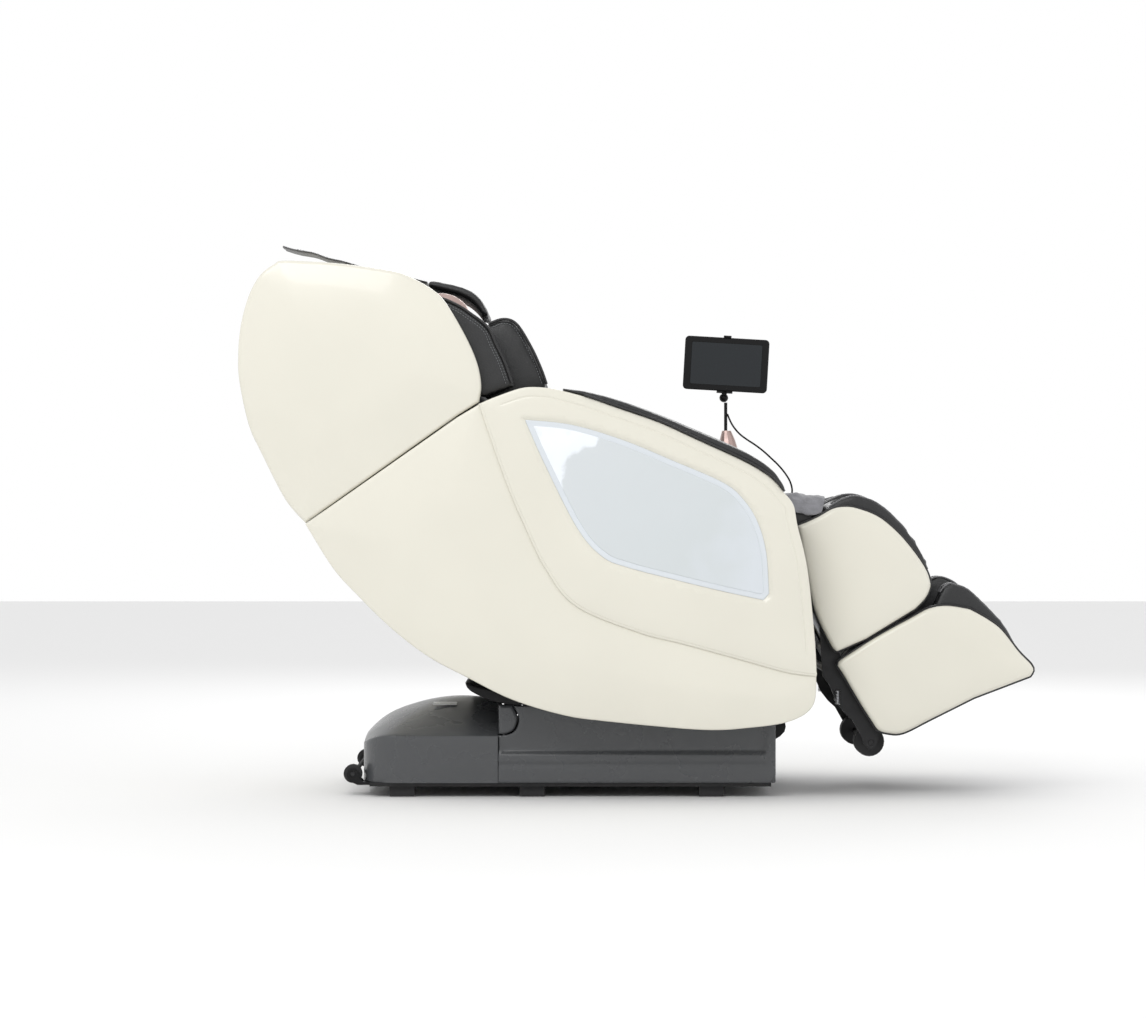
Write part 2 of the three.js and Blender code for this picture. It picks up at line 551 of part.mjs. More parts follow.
function calfCushion() {
  const shape = outline([[378, 600], [400, 636], [424, 660], [461, 682], [490, 688], [520, 682],
    [548, 668], [574, 645],
    [602, 618], [628, 587], [652, 548], [666, 515], [668, 492]], [[668, 492], [655, 452], [628, 428]],
  [[628, 428], [462, 338]], [[462, 338], [404, 436], [378, 600]]);
  const well = outline([[430, 720], [452, 640]], [[452, 640], [500, 560], [560, 440], [585, 380]],
    [[585, 380], [760, 420]], [[760, 420], [760, 720]], [[760, 720], [430, 720]]);
  return cut(slab(shape, -253.4, 253.4, 3), ...CHANNELS.map(([a, b]) => slab(well, a, b, 0)));
}

const SOLE_ROLLER = [752, 314];
function footCushion() {
  const shape = outline([[470, 300], [540, 340], [622, 388], [655, 420], [668, 455], [688, 484],
    [709, 488], [737, 482],
    [764, 464], [812, 420], [846, 372], [868, 318], [872, 290]], [[872, 290], [868, 276]], [[868, 276],
      [756, 232]],
  [[756, 232], [660, 186], [600, 158], [566, 160]], [[566, 160], [545, 178]], [[545, 178], [470, 300]]);
  const well = outline([[600, 440], [640, 300]], [[640, 300], [660, 268], [700, 270]], [[700, 270],
    [826, 330]],
    [[826, 330], [838, 352], [830, 400]], [[830, 400], [800, 560]], [[800, 560], [600, 560]], [[600, 560],
      [600, 440]]);
  return cut(slab(shape, -253.4, 253.4, 3), ...CHANNELS.map(([a, b]) => slab(well, a, b, 0)),
    rod(...SOLE_ROLLER, 6.6, -60, 60, 20));
}

const ROLLER = { x: 528, z: 118, radius: 34, y: 170 };
const along = ([x, z], distance) => [x + down[0] * distance, z + down[1] * distance];

function legFrame() {
  const plate = outline([[322, 548], [324, 564], [340, 574], [358, 564]], [[358, 564], [398, 436],
    [450, 336], [466, 296]],
    [[466, 296], [538, 168]], [[538, 168], [545, 120], [528, 101], [511, 116]],
    [[511, 116], [503, 140], [478, 180], [460, 190], [436, 245], [419, 268]], [[419, 268], [412, 385]],
    [[412, 385], [322, 548]]);
  const plates = [-1, 1].map((side) => cut(sideSlab(plate, side, 222, 230, 0),
    rod(...KNEE, 9.7, side * 226 - 8, side * 226 + 8, 18)));
  const tubes = [[376, 470], [432, 280], [489, 191]].map(([x, z]) => rod(x, z, 8, -226, 226));
  return cut(join(...plates, ...tubes), rod(ROLLER.x, ROLLER.z, 6.7, -240, 240, 18));
}

function legRollers() {
  const wheels = [-1, 1].map((side) =>
    rod(ROLLER.x, ROLLER.z, ROLLER.radius, side * ROLLER.y - 20, side * ROLLER.y + 20, 24));
  return join(...wheels, rod(ROLLER.x, ROLLER.z, 6, -230, 230, 14));
}

// Two flat bars that the footrest slides out on, tied by a cross bar.
function footSlideBars() {
  const top = [396, 408];
  const corners = [...lift([top, along(top, 240)], -6, -3), ...lift([along(top, 240), top], 6, 3)];
  const bar = outline(...corners.map((corner, i) => [corner, corners[(i + 1) % corners.length]]));
  return join(...[-206, 206].map((y) => slab(bar, y - 6, y + 6)), rod(...along(top, 100), 6, -206, 206));
}

function legrest() {
  add('leg_frame', legFrame(), blackPlastic);
  add('leg_rollers', legRollers(), rubber);
  add('calf_cushion', calfCushion(), leather);
  add('knee_cloth', slab(bandShape([[384, 668], [410, 682], [440, 691], [462, 695]],
    [[462, 690], [438, 686], [412, 676], [388, 661]]), -250, 250), cloth);
  add('foot_cushion', footCushion(), leather);
  add('foot_slide_bars', footSlideBars(), zinc);
  const rollers = [[-192, -48], [48, 192]].map(([y0, y1]) => rod(...SOLE_ROLLER, 15, y0, y1, 20));
  add('foot_rollers', join(...rollers, rod(...SOLE_ROLLER, 5, -100, 100)), blackPlastic);
  for (const [name, side] of SIDES) {
    add(`calf_panel_${name}`, sideSlab(calfOutline(), side, LEG_HALF - LEG_PANEL, LEG_HALF, 5, FINE),
      cream);
    add(`foot_panel_${name}`, sideSlab(footOutline(), side, LEG_HALF - LEG_PANEL, LEG_HALF, 5, FINE),
      cream);
  }
}

base();
carriage();
seat();
tabletStand();
tablet();
lead();
back();
massageUnit();
legrest();

export default chair;
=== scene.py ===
import json
import math

import bpy
import bmesh
import numpy as np
from mathutils import Matrix, Vector, noise
from mathutils.geometry import delaunay_2d_cdt


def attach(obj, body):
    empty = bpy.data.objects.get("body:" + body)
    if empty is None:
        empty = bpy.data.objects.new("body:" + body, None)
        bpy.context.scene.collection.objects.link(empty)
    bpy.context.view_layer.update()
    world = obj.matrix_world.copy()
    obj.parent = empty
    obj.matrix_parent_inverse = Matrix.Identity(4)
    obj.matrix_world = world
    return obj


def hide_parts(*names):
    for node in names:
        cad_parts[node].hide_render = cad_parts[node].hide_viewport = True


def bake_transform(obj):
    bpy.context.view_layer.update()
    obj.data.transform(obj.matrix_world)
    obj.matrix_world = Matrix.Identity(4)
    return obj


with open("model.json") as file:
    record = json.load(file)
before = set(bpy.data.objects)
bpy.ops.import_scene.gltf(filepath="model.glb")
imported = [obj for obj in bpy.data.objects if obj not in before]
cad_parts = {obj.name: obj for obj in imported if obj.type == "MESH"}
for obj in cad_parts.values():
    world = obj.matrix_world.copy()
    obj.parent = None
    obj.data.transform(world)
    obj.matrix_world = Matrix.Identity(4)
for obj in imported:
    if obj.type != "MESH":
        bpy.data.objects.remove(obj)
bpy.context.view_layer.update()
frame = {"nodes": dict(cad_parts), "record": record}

# ---- sizes, in millimetres as on the drawing ----
MM = 0.001
HALF_WIDTH = 395
CASING = 60
INNER = HALF_WIDTH - CASING - 4
LEG_HALF = 279
LEG_PANEL = 22
BASE_HALF = 280
HINGE = (-173, 532)
RECLINE = math.radians(45)
LEAD_DIAMETER = 0.0044
STRAP_HALF = 80
KNEE_HALF, KNEE_HANGS_FROM = 266, 222
SKIRT_HALF = 268
SIM_FRAMES = 20
SIDES = (("right", -1), ("left", 1))
nodes = frame["nodes"]


# ---- camera, lights and floor ----
CAMERA_PLACE = (-0.144, -7.0, 0.645)
LENS = 94.3
FLOOR_HALF, FLOOR_Z = 14.0, -0.001
SKY_SHADES = ((0.0, 0.2), (0.25, 0.35), (0.40, 1.0), (0.60, 1.0), (0.78, 0.85), (1.0, 1.0))


def studio():
    scene = bpy.context.scene
    camera_data = bpy.data.cameras.new("camera")
    camera_data.sensor_width = 36
    camera_data.lens = LENS
    camera = bpy.data.objects.new("camera", camera_data)
    camera.location = CAMERA_PLACE
    camera.rotation_euler = (math.pi / 2, 0, 0)
    scene.collection.objects.link(camera)
    scene.camera = camera

    world = bpy.data.worlds.new("studio")
    scene.world = world
    world.use_nodes = True
    background = world.node_tree.nodes["Background"]
    tree = world.node_tree
    sky = tree.nodes.new("ShaderNodeTexCoord")
    axes = tree.nodes.new("ShaderNodeSeparateXYZ")
    ramp = tree.nodes.new("ShaderNodeValToRGB")
    height = tree.nodes.new("ShaderNodeMapRange")
    height.inputs["From Min"].default_value = -1.0
    tree.links.new(sky.outputs["Generated"], axes.inputs["Vector"])
    tree.links.new(axes.outputs["Z"], height.inputs["Value"])
    tree.links.new(height.outputs["Result"], ramp.inputs["Fac"])
    tree.links.new(ramp.outputs["Color"], background.inputs["Color"])
    while len(ramp.color_ramp.elements) < len(SKY_SHADES):
        ramp.color_ramp.elements.new(0.5)
    for element, (place, shade) in zip(ramp.color_ramp.elements, SKY_SHADES):
        element.position = place
        element.color = (shade, shade, shade, 1)
    background.inputs["Strength"].default_value = 1.0

    def softbox(name, place, size, power):
        light = bpy.data.lights.new(name, "AREA")
        light.shape = "RECTANGLE"
        light.size, light.size_y = size
        light.energy = power
        lamp = bpy.data.objects.new(name, light)
        lamp.location = place
        lamp.rotation_euler = (Vector((0, 0, 0.5)) - Vector(place)).to_track_quat("-Z", "Y").to_euler()
        scene.collection.objects.link(lamp)

    softbox("key", (-1.6, -3.6, 3.4), (2.6, 1.6), 55)
    softbox("fill", (3.2, -2.6, 1.6), (1.6, 2.2), 6)
    softbox("back", (0.6, 3.6, 2.8), (3.0, 1.4), 40)

    mesh = bpy.data.meshes.new("studio_floor")
    corners = [(x * FLOOR_HALF, y * FLOOR_HALF, FLOOR_Z)
               for x, y in ((-1, -1), (1, -1), (1, 1), (-1, 1))]
    mesh.from_pydata(corners, [], [(0, 1, 2, 3)])
    floor = bpy.data.objects.new("studio_floor", mesh)
    mesh.materials.append(plain("studio_floor", (0.86, 0.86, 0.86), 0.8))
    scene.collection.objects.link(floor)

    scene.view_settings.view_transform = "Standard"


# ---- materials ----
def plain(name, colour, roughness, **sockets):
    material = bpy.data.materials.new(name)
    material.use_nodes = True
    shader = material.node_tree.nodes["Principled BSDF"]
    shader.inputs["Base Color"].default_value = (*colour, 1)
    shader.inputs["Roughness"].default_value = roughness
    for socket, value in sockets.items():
        shader.inputs[socket.replace("_", " ")].default_value = value
    return material


class Nodes:
    """Short hand for wiring a material's procedural detail."""

    def __init__(self, material):
        self.tree = material.node_tree
        self.shader = self.tree.nodes["Principled BSDF"]
        self.place = self.tree.nodes.new("ShaderNodeTexCoord").outputs["Object"]

    def link(self, source, target):
        self.tree.links.new(source, target)

    def noise(self, scale, detail=3.0):
        node = self.tree.nodes.new("ShaderNodeTexNoise")
        node.inputs["Scale"].default_value = scale
        node.inputs["Detail"].default_value = detail
        self.link(self.place, node.inputs["Vector"])
        return node.outputs["Fac"]

    def cells(self, scale):
        node = self.tree.nodes.new("ShaderNodeTexVoronoi")
        node.feature = "DISTANCE_TO_EDGE"
        node.inputs["Scale"].default_value = scale
        self.link(self.place, node.inputs["Vector"])
        return node.outputs["Distance"]

    def span(self, value, low, high, out_low, out_high):
        node = self.tree.nodes.new("ShaderNodeMapRange")
        ends = {"From Min": low, "From Max": high, "To Min": out_low, "To Max": out_high}
        for socket, number in ends.items():
            node.inputs[socket].default_value = number
        self.link(value, node.inputs["Value"])
        return node.outputs["Result"]

    def math(self, operation, a, b):
        node = self.tree.nodes.new("ShaderNodeMath")
        node.operation = operation
        for socket, value in zip(node.inputs, (a, b)):
            if isinstance(value, (int, float)):
                socket.default_value = value
            else:
                self.link(value, socket)
        return node.outputs[0]

    def colours(self, value, *stops):
        node = self.tree.nodes.new("ShaderNodeValToRGB")
        ramp = node.color_ramp
        while len(ramp.elements) < len(stops):
            ramp.elements.new(0.5)
        for element, (place, colour) in zip(ramp.elements, stops):
            element.position = place
            element.color = (*colour, 1)
        self.link(value, node.inputs["Fac"])
        self.link(node.outputs["Color"], self.shader.inputs["Base Color"])

    def roughness(self, value):
        self.link(value, self.shader.inputs["Roughness"])

    def bump(self, height, distance, strength=1.0):
        node = self.tree.nodes.new("ShaderNodeBump")
        node.inputs["Distance"].default_value = distance
        node.inputs["Strength"].default_value = strength
        self.link(height, node.inputs["Height"])
        self.link(node.outputs["Normal"], self.shader.inputs["Normal"])


def dull(material, level):
    """Lowers a dark material's reflection, so it doesn't turn grey under the white sky."""
    material.node_tree.nodes["Principled BSDF"].inputs["Specular IOR Level"].default_value = level
    return material


def tint(colour, factor):
    return tuple(channel * factor for channel in colour)


def plastic_material(name, colour, rough, coat=0.0, texture=420, depth=0.00004):
    """Moulded plastic: faint cloudiness, uneven gloss and a fine moulded texture."""
    material = plain(name, colour, rough, Coat_Weight=coat, Coat_Roughness=0.08)
    n = Nodes(material)
    n.colours(n.noise(3.5, 2), (0.3, tint(colour, 0.975)), (0.7, tint(colour, 1.015)))
    n.roughness(n.span(n.noise(11, 5), 0.3, 0.7, rough * 0.88, rough * 1.14))
    n.bump(n.noise(texture, 2), depth, 0.5)
    return material


def leather_material(name, colour, rough, grain=330):
    """Pebbled leather: irregular cells with creases, and lighter wear on the high spots."""
    material = plain(name, colour, rough, Specular_IOR_Level=0.5, Coat_Weight=0.12, Coat_Roughness=0.35)
    n = Nodes(material)
    pebbles = n.span(n.cells(grain), 0.0, 0.22, 0.0, 1.0)
    creases = n.noise(95, 6)
    n.colours(n.math("ADD", n.math("MULTIPLY", pebbles, 0.5), n.math("MULTIPLY", n.noise(14, 4), 0.5)),
              (0.25, tint(colour, 0.72)), (0.8, tint(colour, 1.3)))
    n.roughness(n.span(n.math("ADD", pebbles, creases), 0.2, 1.7, rough * 1.2, rough * 0.82))
    n.bump(n.math("ADD", pebbles, n.math("MULTIPLY", creases, 0.8)), 0.00035, 0.55)
    return material


def metal_material(name, colour, rough, metallic=1.0, paint=False):
    material = plain(name, colour, rough, Metallic=metallic)
    n = Nodes(material)
    n.colours(n.noise(22, 5), (0.3, tint(colour, 0.86)), (0.75, tint(colour, 1.08)))
    n.roughness(n.span(n.noise(60, 6), 0.3, 0.7, rough * 0.8, rough * 1.25))
    n.bump(n.noise(700 if paint else 240, 3), 0.00005, 0.5)
    return material


def cloth_material(name, colour):
    """Plain weave: two crossed thread waves with lint."""
    material = plain(name, colour, 0.92, Sheen_Weight=0.5, Sheen_Roughness=0.4)
    n = Nodes(material)
    threads = []
    for direction in ("X", "Y"):
        wave = n.tree.nodes.new("ShaderNodeTexWave")
        wave.bands_direction = direction
        wave.inputs["Scale"].default_value = 190
        wave.inputs["Distortion"].default_value = 0.6
        n.link(n.place, wave.inputs["Vector"])
        threads.append(wave.outputs["Fac"])
    weave = n.math("MULTIPLY", *threads)
    n.colours(n.math("ADD", n.math("MULTIPLY", weave, 0.6), n.math("MULTIPLY", n.noise(45, 6), 0.5)),
              (0.2, tint(colour, 0.55)), (0.85, tint(colour, 1.55)))
    n.bump(weave, 0.0005, 0.7)
    return material


def glaze_with_painted_reflection():
    """Tinted side window: grey-blue, with a painted reflection: a paler band sloping down from its rear
    top.
    """
    material = plain("window_glaze", (0.60, 0.64, 0.67), 0.08, Coat_Weight=0.6, Coat_Roughness=0.03)
    n = Nodes(material)
    axes = n.tree.nodes.new("ShaderNodeSeparateXYZ")
    n.link(n.place, axes.inputs["Vector"])
    # The pale stops of the ramp below paint a reflection into the colour: a band sloping down from the
    # rear top, its edges wandered by noise.
    painted_reflection_slope = n.math("ADD", n.math("MULTIPLY", axes.outputs["X"], 1.0),
                   n.math("MULTIPLY", axes.outputs["Z"], -0.55))
    wander = n.math("MULTIPLY", n.noise(9, 4), 0.3)
    n.colours(n.span(n.math("ADD", painted_reflection_slope, wander), -0.55, 0.10, 0.0, 1.0),
              (0.0, (0.62, 0.66, 0.69)), (0.10, (0.86, 0.89, 0.93)), (0.20, (0.82, 0.86, 0.91)),
              (0.225, (0.62, 0.655, 0.675)), (0.8, (0.60, 0.64, 0.655)), (1.0, (0.64, 0.68, 0.72)))
    return material


CREAM = plastic_material("cream_gloss", (0.735, 0.714, 0.625), 0.24, coat=0.35, texture=160,
                         depth=0.00003)
GLAZE = glaze_with_painted_reflection()
# Bevelled border of the window pane; its lighter grey-blue than the face is painted reflection.
RIM_GLAZE = plastic_material("window_rim", (0.66, 0.70, 0.74), 0.08, coat=0.6, texture=90,
                             depth=0.000005)
LEATHER = leather_material("black_leather", (0.011, 0.0115, 0.0125), 0.34)
PIPING = leather_material("black_piping", (0.008, 0.008, 0.009), 0.35, grain=500)
THREAD = plain("grey_thread", (0.20, 0.21, 0.22), 0.7)
GREY = plastic_material("base_grey", (0.066, 0.069, 0.073), 0.27, texture=900, depth=0.00006)
BLACK = dull(plastic_material("black_plastic", (0.008, 0.008, 0.0085), 0.42, texture=800,
                              depth=0.00006), 0.2)
STEEL = metal_material("black_steel", (0.014, 0.014, 0.015), 0.42, metallic=0.4, paint=True)
ZINC = metal_material("zinc_steel", (0.55, 0.56, 0.58), 0.3)
ROSE = metal_material("rose_gold", (0.50, 0.37, 0.34), 0.34, metallic=0.6)
RUBBER = plastic_material("black_rubber", (0.018, 0.018, 0.019), 0.75, texture=600, depth=0.0001)
CLOTH = cloth_material("grey_cloth", (0.27, 0.27, 0.29))
SCREEN = dull(plastic_material("screen_glass", (0.012, 0.016, 0.02), 0.06, coat=0.25, texture=60,
                               depth=0.000005), 0.25)
# Pale grey leather for the leg-rest welts: painted highlight along the black ribs, not wear.
PAINTED_HIGHLIGHT_LEATHER = leather_material("painted_highlight_leather", (0.10, 0.10, 0.105), 0.3)
studio()


# ---- outlines and surfaces ----
def spline(points, step):
    """Uniform Catmull-Rom through the points, about `step` apart."""
    p = np.array([points[0], *points, points[-1]], float)
    made = []
    for i in range(1, len(p) - 2):
        count = max(1, round(np.linalg.norm(p[i + 1] - p[i]) / step))
        t = np.linspace(0, 1, count, endpoint=False)[:, None]
        a, b, c, d = p[i - 1:i + 3]
        made.append(0.5 * (2 * b + (c - a) * t + (2 * a - 5 * b + 4 * c - d) * t ** 2
                           + (3 * b - a - 3 * c + d) * t ** 3))
    return np.vstack([*made, p[-2:-1]])


def outline(*runs, step=7):
    """Closed outline: a run of two points is a straight edge, a longer one a smooth curve."""
    return np.vstack([spline(run, step)[:-1] for run in runs])


def lift(points, dx, dz):
    return [(x + dx, z + dz) for x, z in points]


def closest(points, line, closed=True):
    """Distance of each point from the line, worked out in slices to save memory."""
    ends = np.roll(line, -1, axis=0) if closed else line[1:]
    starts = line if closed else line[:-1]
    edge = ends - starts
    length = np.maximum((edge ** 2).sum(1), 1e-12)
    best = []
    for part in np.array_split(points, max(1, len(points) // 2000)):
        rel = part[:, None] - starts
        t = np.clip((rel * edge).sum(2) / length, 0, 1)
        best.append(np.sqrt(((rel - t[..., None] * edge) ** 2).sum(2)).min(1))
    return np.concatenate(best)


def depth_inside(points, line):
    """Distance from the closed line, positive inside it."""
    x, z = points[:, 0:1], points[:, 1:2]
    ends = np.roll(line, -1, axis=0)
    crosses = (line[:, 1] > z) != (ends[:, 1] > z)
    rise = np.where(ends[:, 1] == line[:, 1], 1e-9, ends[:, 1] - line[:, 1])
    at = line[:, 0] + (z - line[:, 1]) / rise * (ends[:, 0] - line[:, 0])
    within = (crosses & (x < at)).sum(1) % 2 == 1
    return closest(points, line) * np.where(within, 1, -1)


def offset(line, distance):
    """The closed line moved inwards, without the points that would cross over."""
    tangent = np.roll(line, -1, axis=0) - np.roll(line, 1, axis=0)
    normal = np.column_stack([-tangent[:, 1], tangent[:, 0]])
    normal /= np.maximum(np.linalg.norm(normal, axis=1, keepdims=True), 1e-9)
    area = (line[:, 0] * np.roll(line[:, 1], -1) - np.roll(line[:, 0], -1) * line[:, 1]).sum()
    moved = line + normal * distance * (1 if area > 0 else -1)
    error = depth_inside(moved, line) - distance
    return moved[np.abs(error) < 0.12 * abs(distance) + 0.2]


def filled(line, rings, grid, extra=None):
    """Triangles inside the line, with points on rings inside it and on a hexagonal grid."""
    low, high = line.min(0), line.max(0)
    gx, gz = np.meshgrid(np.arange(low[0], high[0], grid), np.arange(low[1], high[1], grid * 0.87))
    gx[1::2] += grid / 2
    inner = np.column_stack([gx.ravel(), gz.ravel()])
    margin = (max(rings) if rings else 0) + grid * 0.55
    inner = inner[depth_inside(inner, line) > margin]
    parts = [line] + [offset(line, d) for d in rings if d > 0]
    if extra is not None:
        extra = extra[depth_inside(extra, line) > 1.0]
        parts.append(extra)
    parts.append(inner)
    points = np.vstack(parts)
    kept = np.unique(np.round(points / 0.6).astype(int), axis=0, return_index=True)[1]
    kept = np.concatenate([np.arange(len(line)), np.sort(kept[kept >= len(line)])])
    points = points[kept]
    count = len(line)
    loop = [(i, (i + 1) % count) for i in range(count)]
    verts, _, faces, origin, _, _ = delaunay_2d_cdt([Vector(p) for p in points], loop, [], 1, 1e-5)
    place = {o: i for i, source in enumerate(origin) for o in source}
    border = [place[i] for i in range(count)]
    return np.array([tuple(v) for v in verts]), [tuple(f) for f in faces], border


def make(name, points, faces, material, body=None, sharp=40):
    """Mesh object from points in millimetres, riding on a body."""
    mesh = bpy.data.meshes.new(name)
    mesh.from_pydata((np.asarray(points, float) * MM).tolist(), [], faces)
    work = bmesh.new()
    work.from_mesh(mesh)
    bmesh.ops.recalc_face_normals(work, faces=work.faces)
    work.to_mesh(mesh)
    work.free()
    mesh.materials.append(material)
    mesh.shade_smooth()
    if sharp:
        mesh.set_sharp_from_angle(angle=math.radians(sharp))
    obj = bpy.data.objects.new(name, mesh)
    bpy.context.scene.collection.objects.link(obj)
    if body:
        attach(obj, body)
    return obj


def rim_rings(radius, steps=6):
    return [radius * (1 - math.cos(math.pi / 2 * i / steps)) for i in range(1, steps + 1)]


def rim_drop(depth, radius):
    inner = np.clip(radius - depth, 0, radius)
    return radius - np.sqrt(np.maximum(radius ** 2 - inner ** 2, 0))


def panel(name, body, line, side, inner, outer, material, rim=12, back_rim=4, crown=0, reach=150,
          grid=12, relief=None, rings=(), extra=None):
    """A moulded panel standing on the side outline: rounded rims, a crowned outer face, and
    `relief` to press grooves and pockets into it."""
    front, triangles, border = filled(line, rim_rings(rim) + list(rings), grid, extra)
    depth = np.maximum(depth_inside(front, line), 0)
    sunk = rim_drop(depth, rim) + crown * (1 - np.clip(depth / reach, 0, 1)) ** 2
    if relief is not None:
        sunk = sunk + relief(front, depth)
    back, back_triangles, back_border = filled(line, rim_rings(back_rim, 3), 45)
    back_sunk = rim_drop(np.maximum(depth_inside(back, line), 0), back_rim)
    y_front = side * (outer - sunk)
    y_back = side * (inner + back_sunk)
    points = np.vstack([np.column_stack([front[:, 0], y_front, front[:, 1]]),
                        np.column_stack([back[:, 0], y_back, back[:, 1]])])
    shift = len(front)
    faces = list(triangles) + [tuple(i + shift for i in f) for f in back_triangles]
    count = len(border)
    for i in range(count):
        j = (i + 1) % count
        faces.append((border[i], border[j], back_border[j] + shift, back_border[i] + shift))
    return make(name, points, faces, material, body)


def groove(distance, at, depth, width):
    return depth * np.exp(-((distance - at) / width) ** 2)


def grid_faces(rows, count, start=0):
    """Quads between rows of points that have `count` points each."""
    return [(a, a + 1, a + count + 1, a + count)
            for j in range(rows - 1) for a in range(start + j * count, start + (j + 1) * count - 1)]


def stand_for(obj, slot_name, *cad_nodes):
    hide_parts(*cad_nodes)
    return obj


def tube(name, path, radius, material, body=None, sides=10, closed=False):
    """Round tube along a path in millimetres, its ends closed."""
    p = np.array(path, float)
    p = p[np.r_[True, np.linalg.norm(np.diff(p, axis=0), axis=1) > 0.5]]
    tangent = np.roll(p, -1, axis=0) - np.roll(p, 1, axis=0)
    if not closed:
        tangent[0], tangent[-1] = p[1] - p[0], p[-1] - p[-2]
    tangent /= np.linalg.norm(tangent, axis=1, keepdims=True)
    up = np.cross(tangent[0], (0.3, 1, 0.2))
    points = []
    for t, centre in zip(tangent, p):
        up = up - t * (up @ t)
        up /= np.linalg.norm(up)
        across = np.cross(t, up)
        for i in range(sides):
            a = 2 * math.pi * i / sides
            points.append(centre + radius * (math.cos(a) * up + math.sin(a) * across))
    count = len(p)
    faces = [(r % count * sides + i, r % count * sides + (i + 1) % sides,
              (r + 1) % count * sides + (i + 1) % sides, (r + 1) % count * sides + i)
             for r in range(count if closed else count - 1) for i in range(sides)]
    if not closed:
        faces += [tuple(range(sides)), tuple(range((count - 1) * sides, count * sides))]
    return make(name, points, faces, material, body, sharp=60)


def stitches(name, path, material, body, length=4.2, pitch=6.5, radius=0.55):
    """A row of raised thread stitches along a path in millimetres, as one mesh."""
    p = np.array(path, float)
    steps = np.linalg.norm(np.diff(p, axis=0), axis=1)
    at = np.concatenate([[0], np.cumsum(steps)])
    points, faces = [], []
    for s in np.arange(pitch, at[-1] - pitch, pitch):
        a, b = (np.array([np.interp(v, at, p[:, k]) for k in range(3)]) for v in (s, s + length))
        along = (b - a) / np.linalg.norm(b - a)
        u = np.cross(along, (0.2, 1, 0.1))
        u /= np.linalg.norm(u)
        v = np.cross(along, u)
        base = len(points)
        for centre, size in ((a, 0.35), (a + along, 1), (b - along, 1), (b, 0.35)):
            points += [centre + radius * size * (math.cos(q) * u + math.sin(q) * v)
                       for q in np.arange(6) * math.pi / 3]
        for r in range(3):
            faces += [(base + r * 6 + i, base + r * 6 + (i + 1) % 6, base + r * 6 + 6 + (i + 1) % 6,
                       base + r * 6 + 6 + i) for i in range(6)]
        faces += [tuple(range(base, base + 6)), tuple(range(base + 18, base + 24))]
    return make(name, points, faces, material, body, sharp=0)


# ---- cream casings and base covers ----
SEAM_REAR, SEAM_FRONT, SEAM_BOW = (-734, 611), (-348, 878), (-400, 851)
GROOVE_END = (393, 280)
GROOVE = [SEAM_FRONT, (-289, 709), (-245, 605), (-201, 515), (-135, 434), (1, 377), (98, 352),
          (226, 317), (327, 289), GROOVE_END]
ARM_TOP = [(-190, 911), (-120, 893), (-41, 866), (47, 835), (135, 795), (223, 755), (267, 731),
           (298, 708), (322, 680)]
WINDOW = outline([(-252, 843), (-148, 832), (-36, 799), (76, 753), (188, 704), (234, 665),
                  (265, 614), (283, 548), (289, 458)], [(289, 458), (276, 443)],
                 [(276, 443), (188, 462), (76, 489), (-27, 516), (-80, 539), (-135, 601),
                  (-206, 740), (-252, 843)], step=8)
LOWER = outline([SEAM_REAR, (-674, 515), (-621, 456), (-542, 379), (-463, 319), (-377, 273),
                 (-280, 225), (-173, 192), (-85, 178), (135, 158), (243, 162), (336, 177),
                 (386, 212), GROOVE_END],
                lift(GROOVE[::-1], -0.5, -1.4), [(-348.5, 876.6), (-349, 877.5)],
                [(-349, 877.5), (-399, 847.5)], [(-399, 847.5), (-734.5, 612)],
                [(-734.5, 612), SEAM_REAR])
ARMREST = outline(GROOVE, [GROOVE_END, (389, 357), (373, 511), (351, 608), (342, 654), (322, 680)],
                  ARM_TOP[::-1], [(-190, 911), (-250, 913), (-313, 893), SEAM_FRONT])
BACK_SIDE = outline([(-735, 614), (-780, 667), (-833, 770), (-860, 830), (-880, 920), (-884, 980),
                     (-878, 1050), (-860, 1117), (-834, 1163), (-800, 1189)],
                    [(-800, 1189), (-780, 1194), (-668, 1188), (-569, 1175), (-516, 1163),
                     (-459, 1133), (-426, 1102), (-383, 1030), (-356, 968), (-347, 918),
                     (-352, 881)], [(-352, 881), SEAM_BOW], [SEAM_BOW, (-735, 614)])
POCKET_DEPTH = 6.2


def window_relief(points, depth):
    """Pocket of the side window with a bevelled lip, and the fine groove under the arm top."""
    inside = depth_inside(points, WINDOW)
    pocket = POCKET_DEPTH * np.clip((inside + 7) / 9, 0, 1)
    beside_top = closest(points, spline(GROOVE, 12), closed=False) > 40
    return pocket + groove(depth, 21, 1.3, 1.6) * beside_top


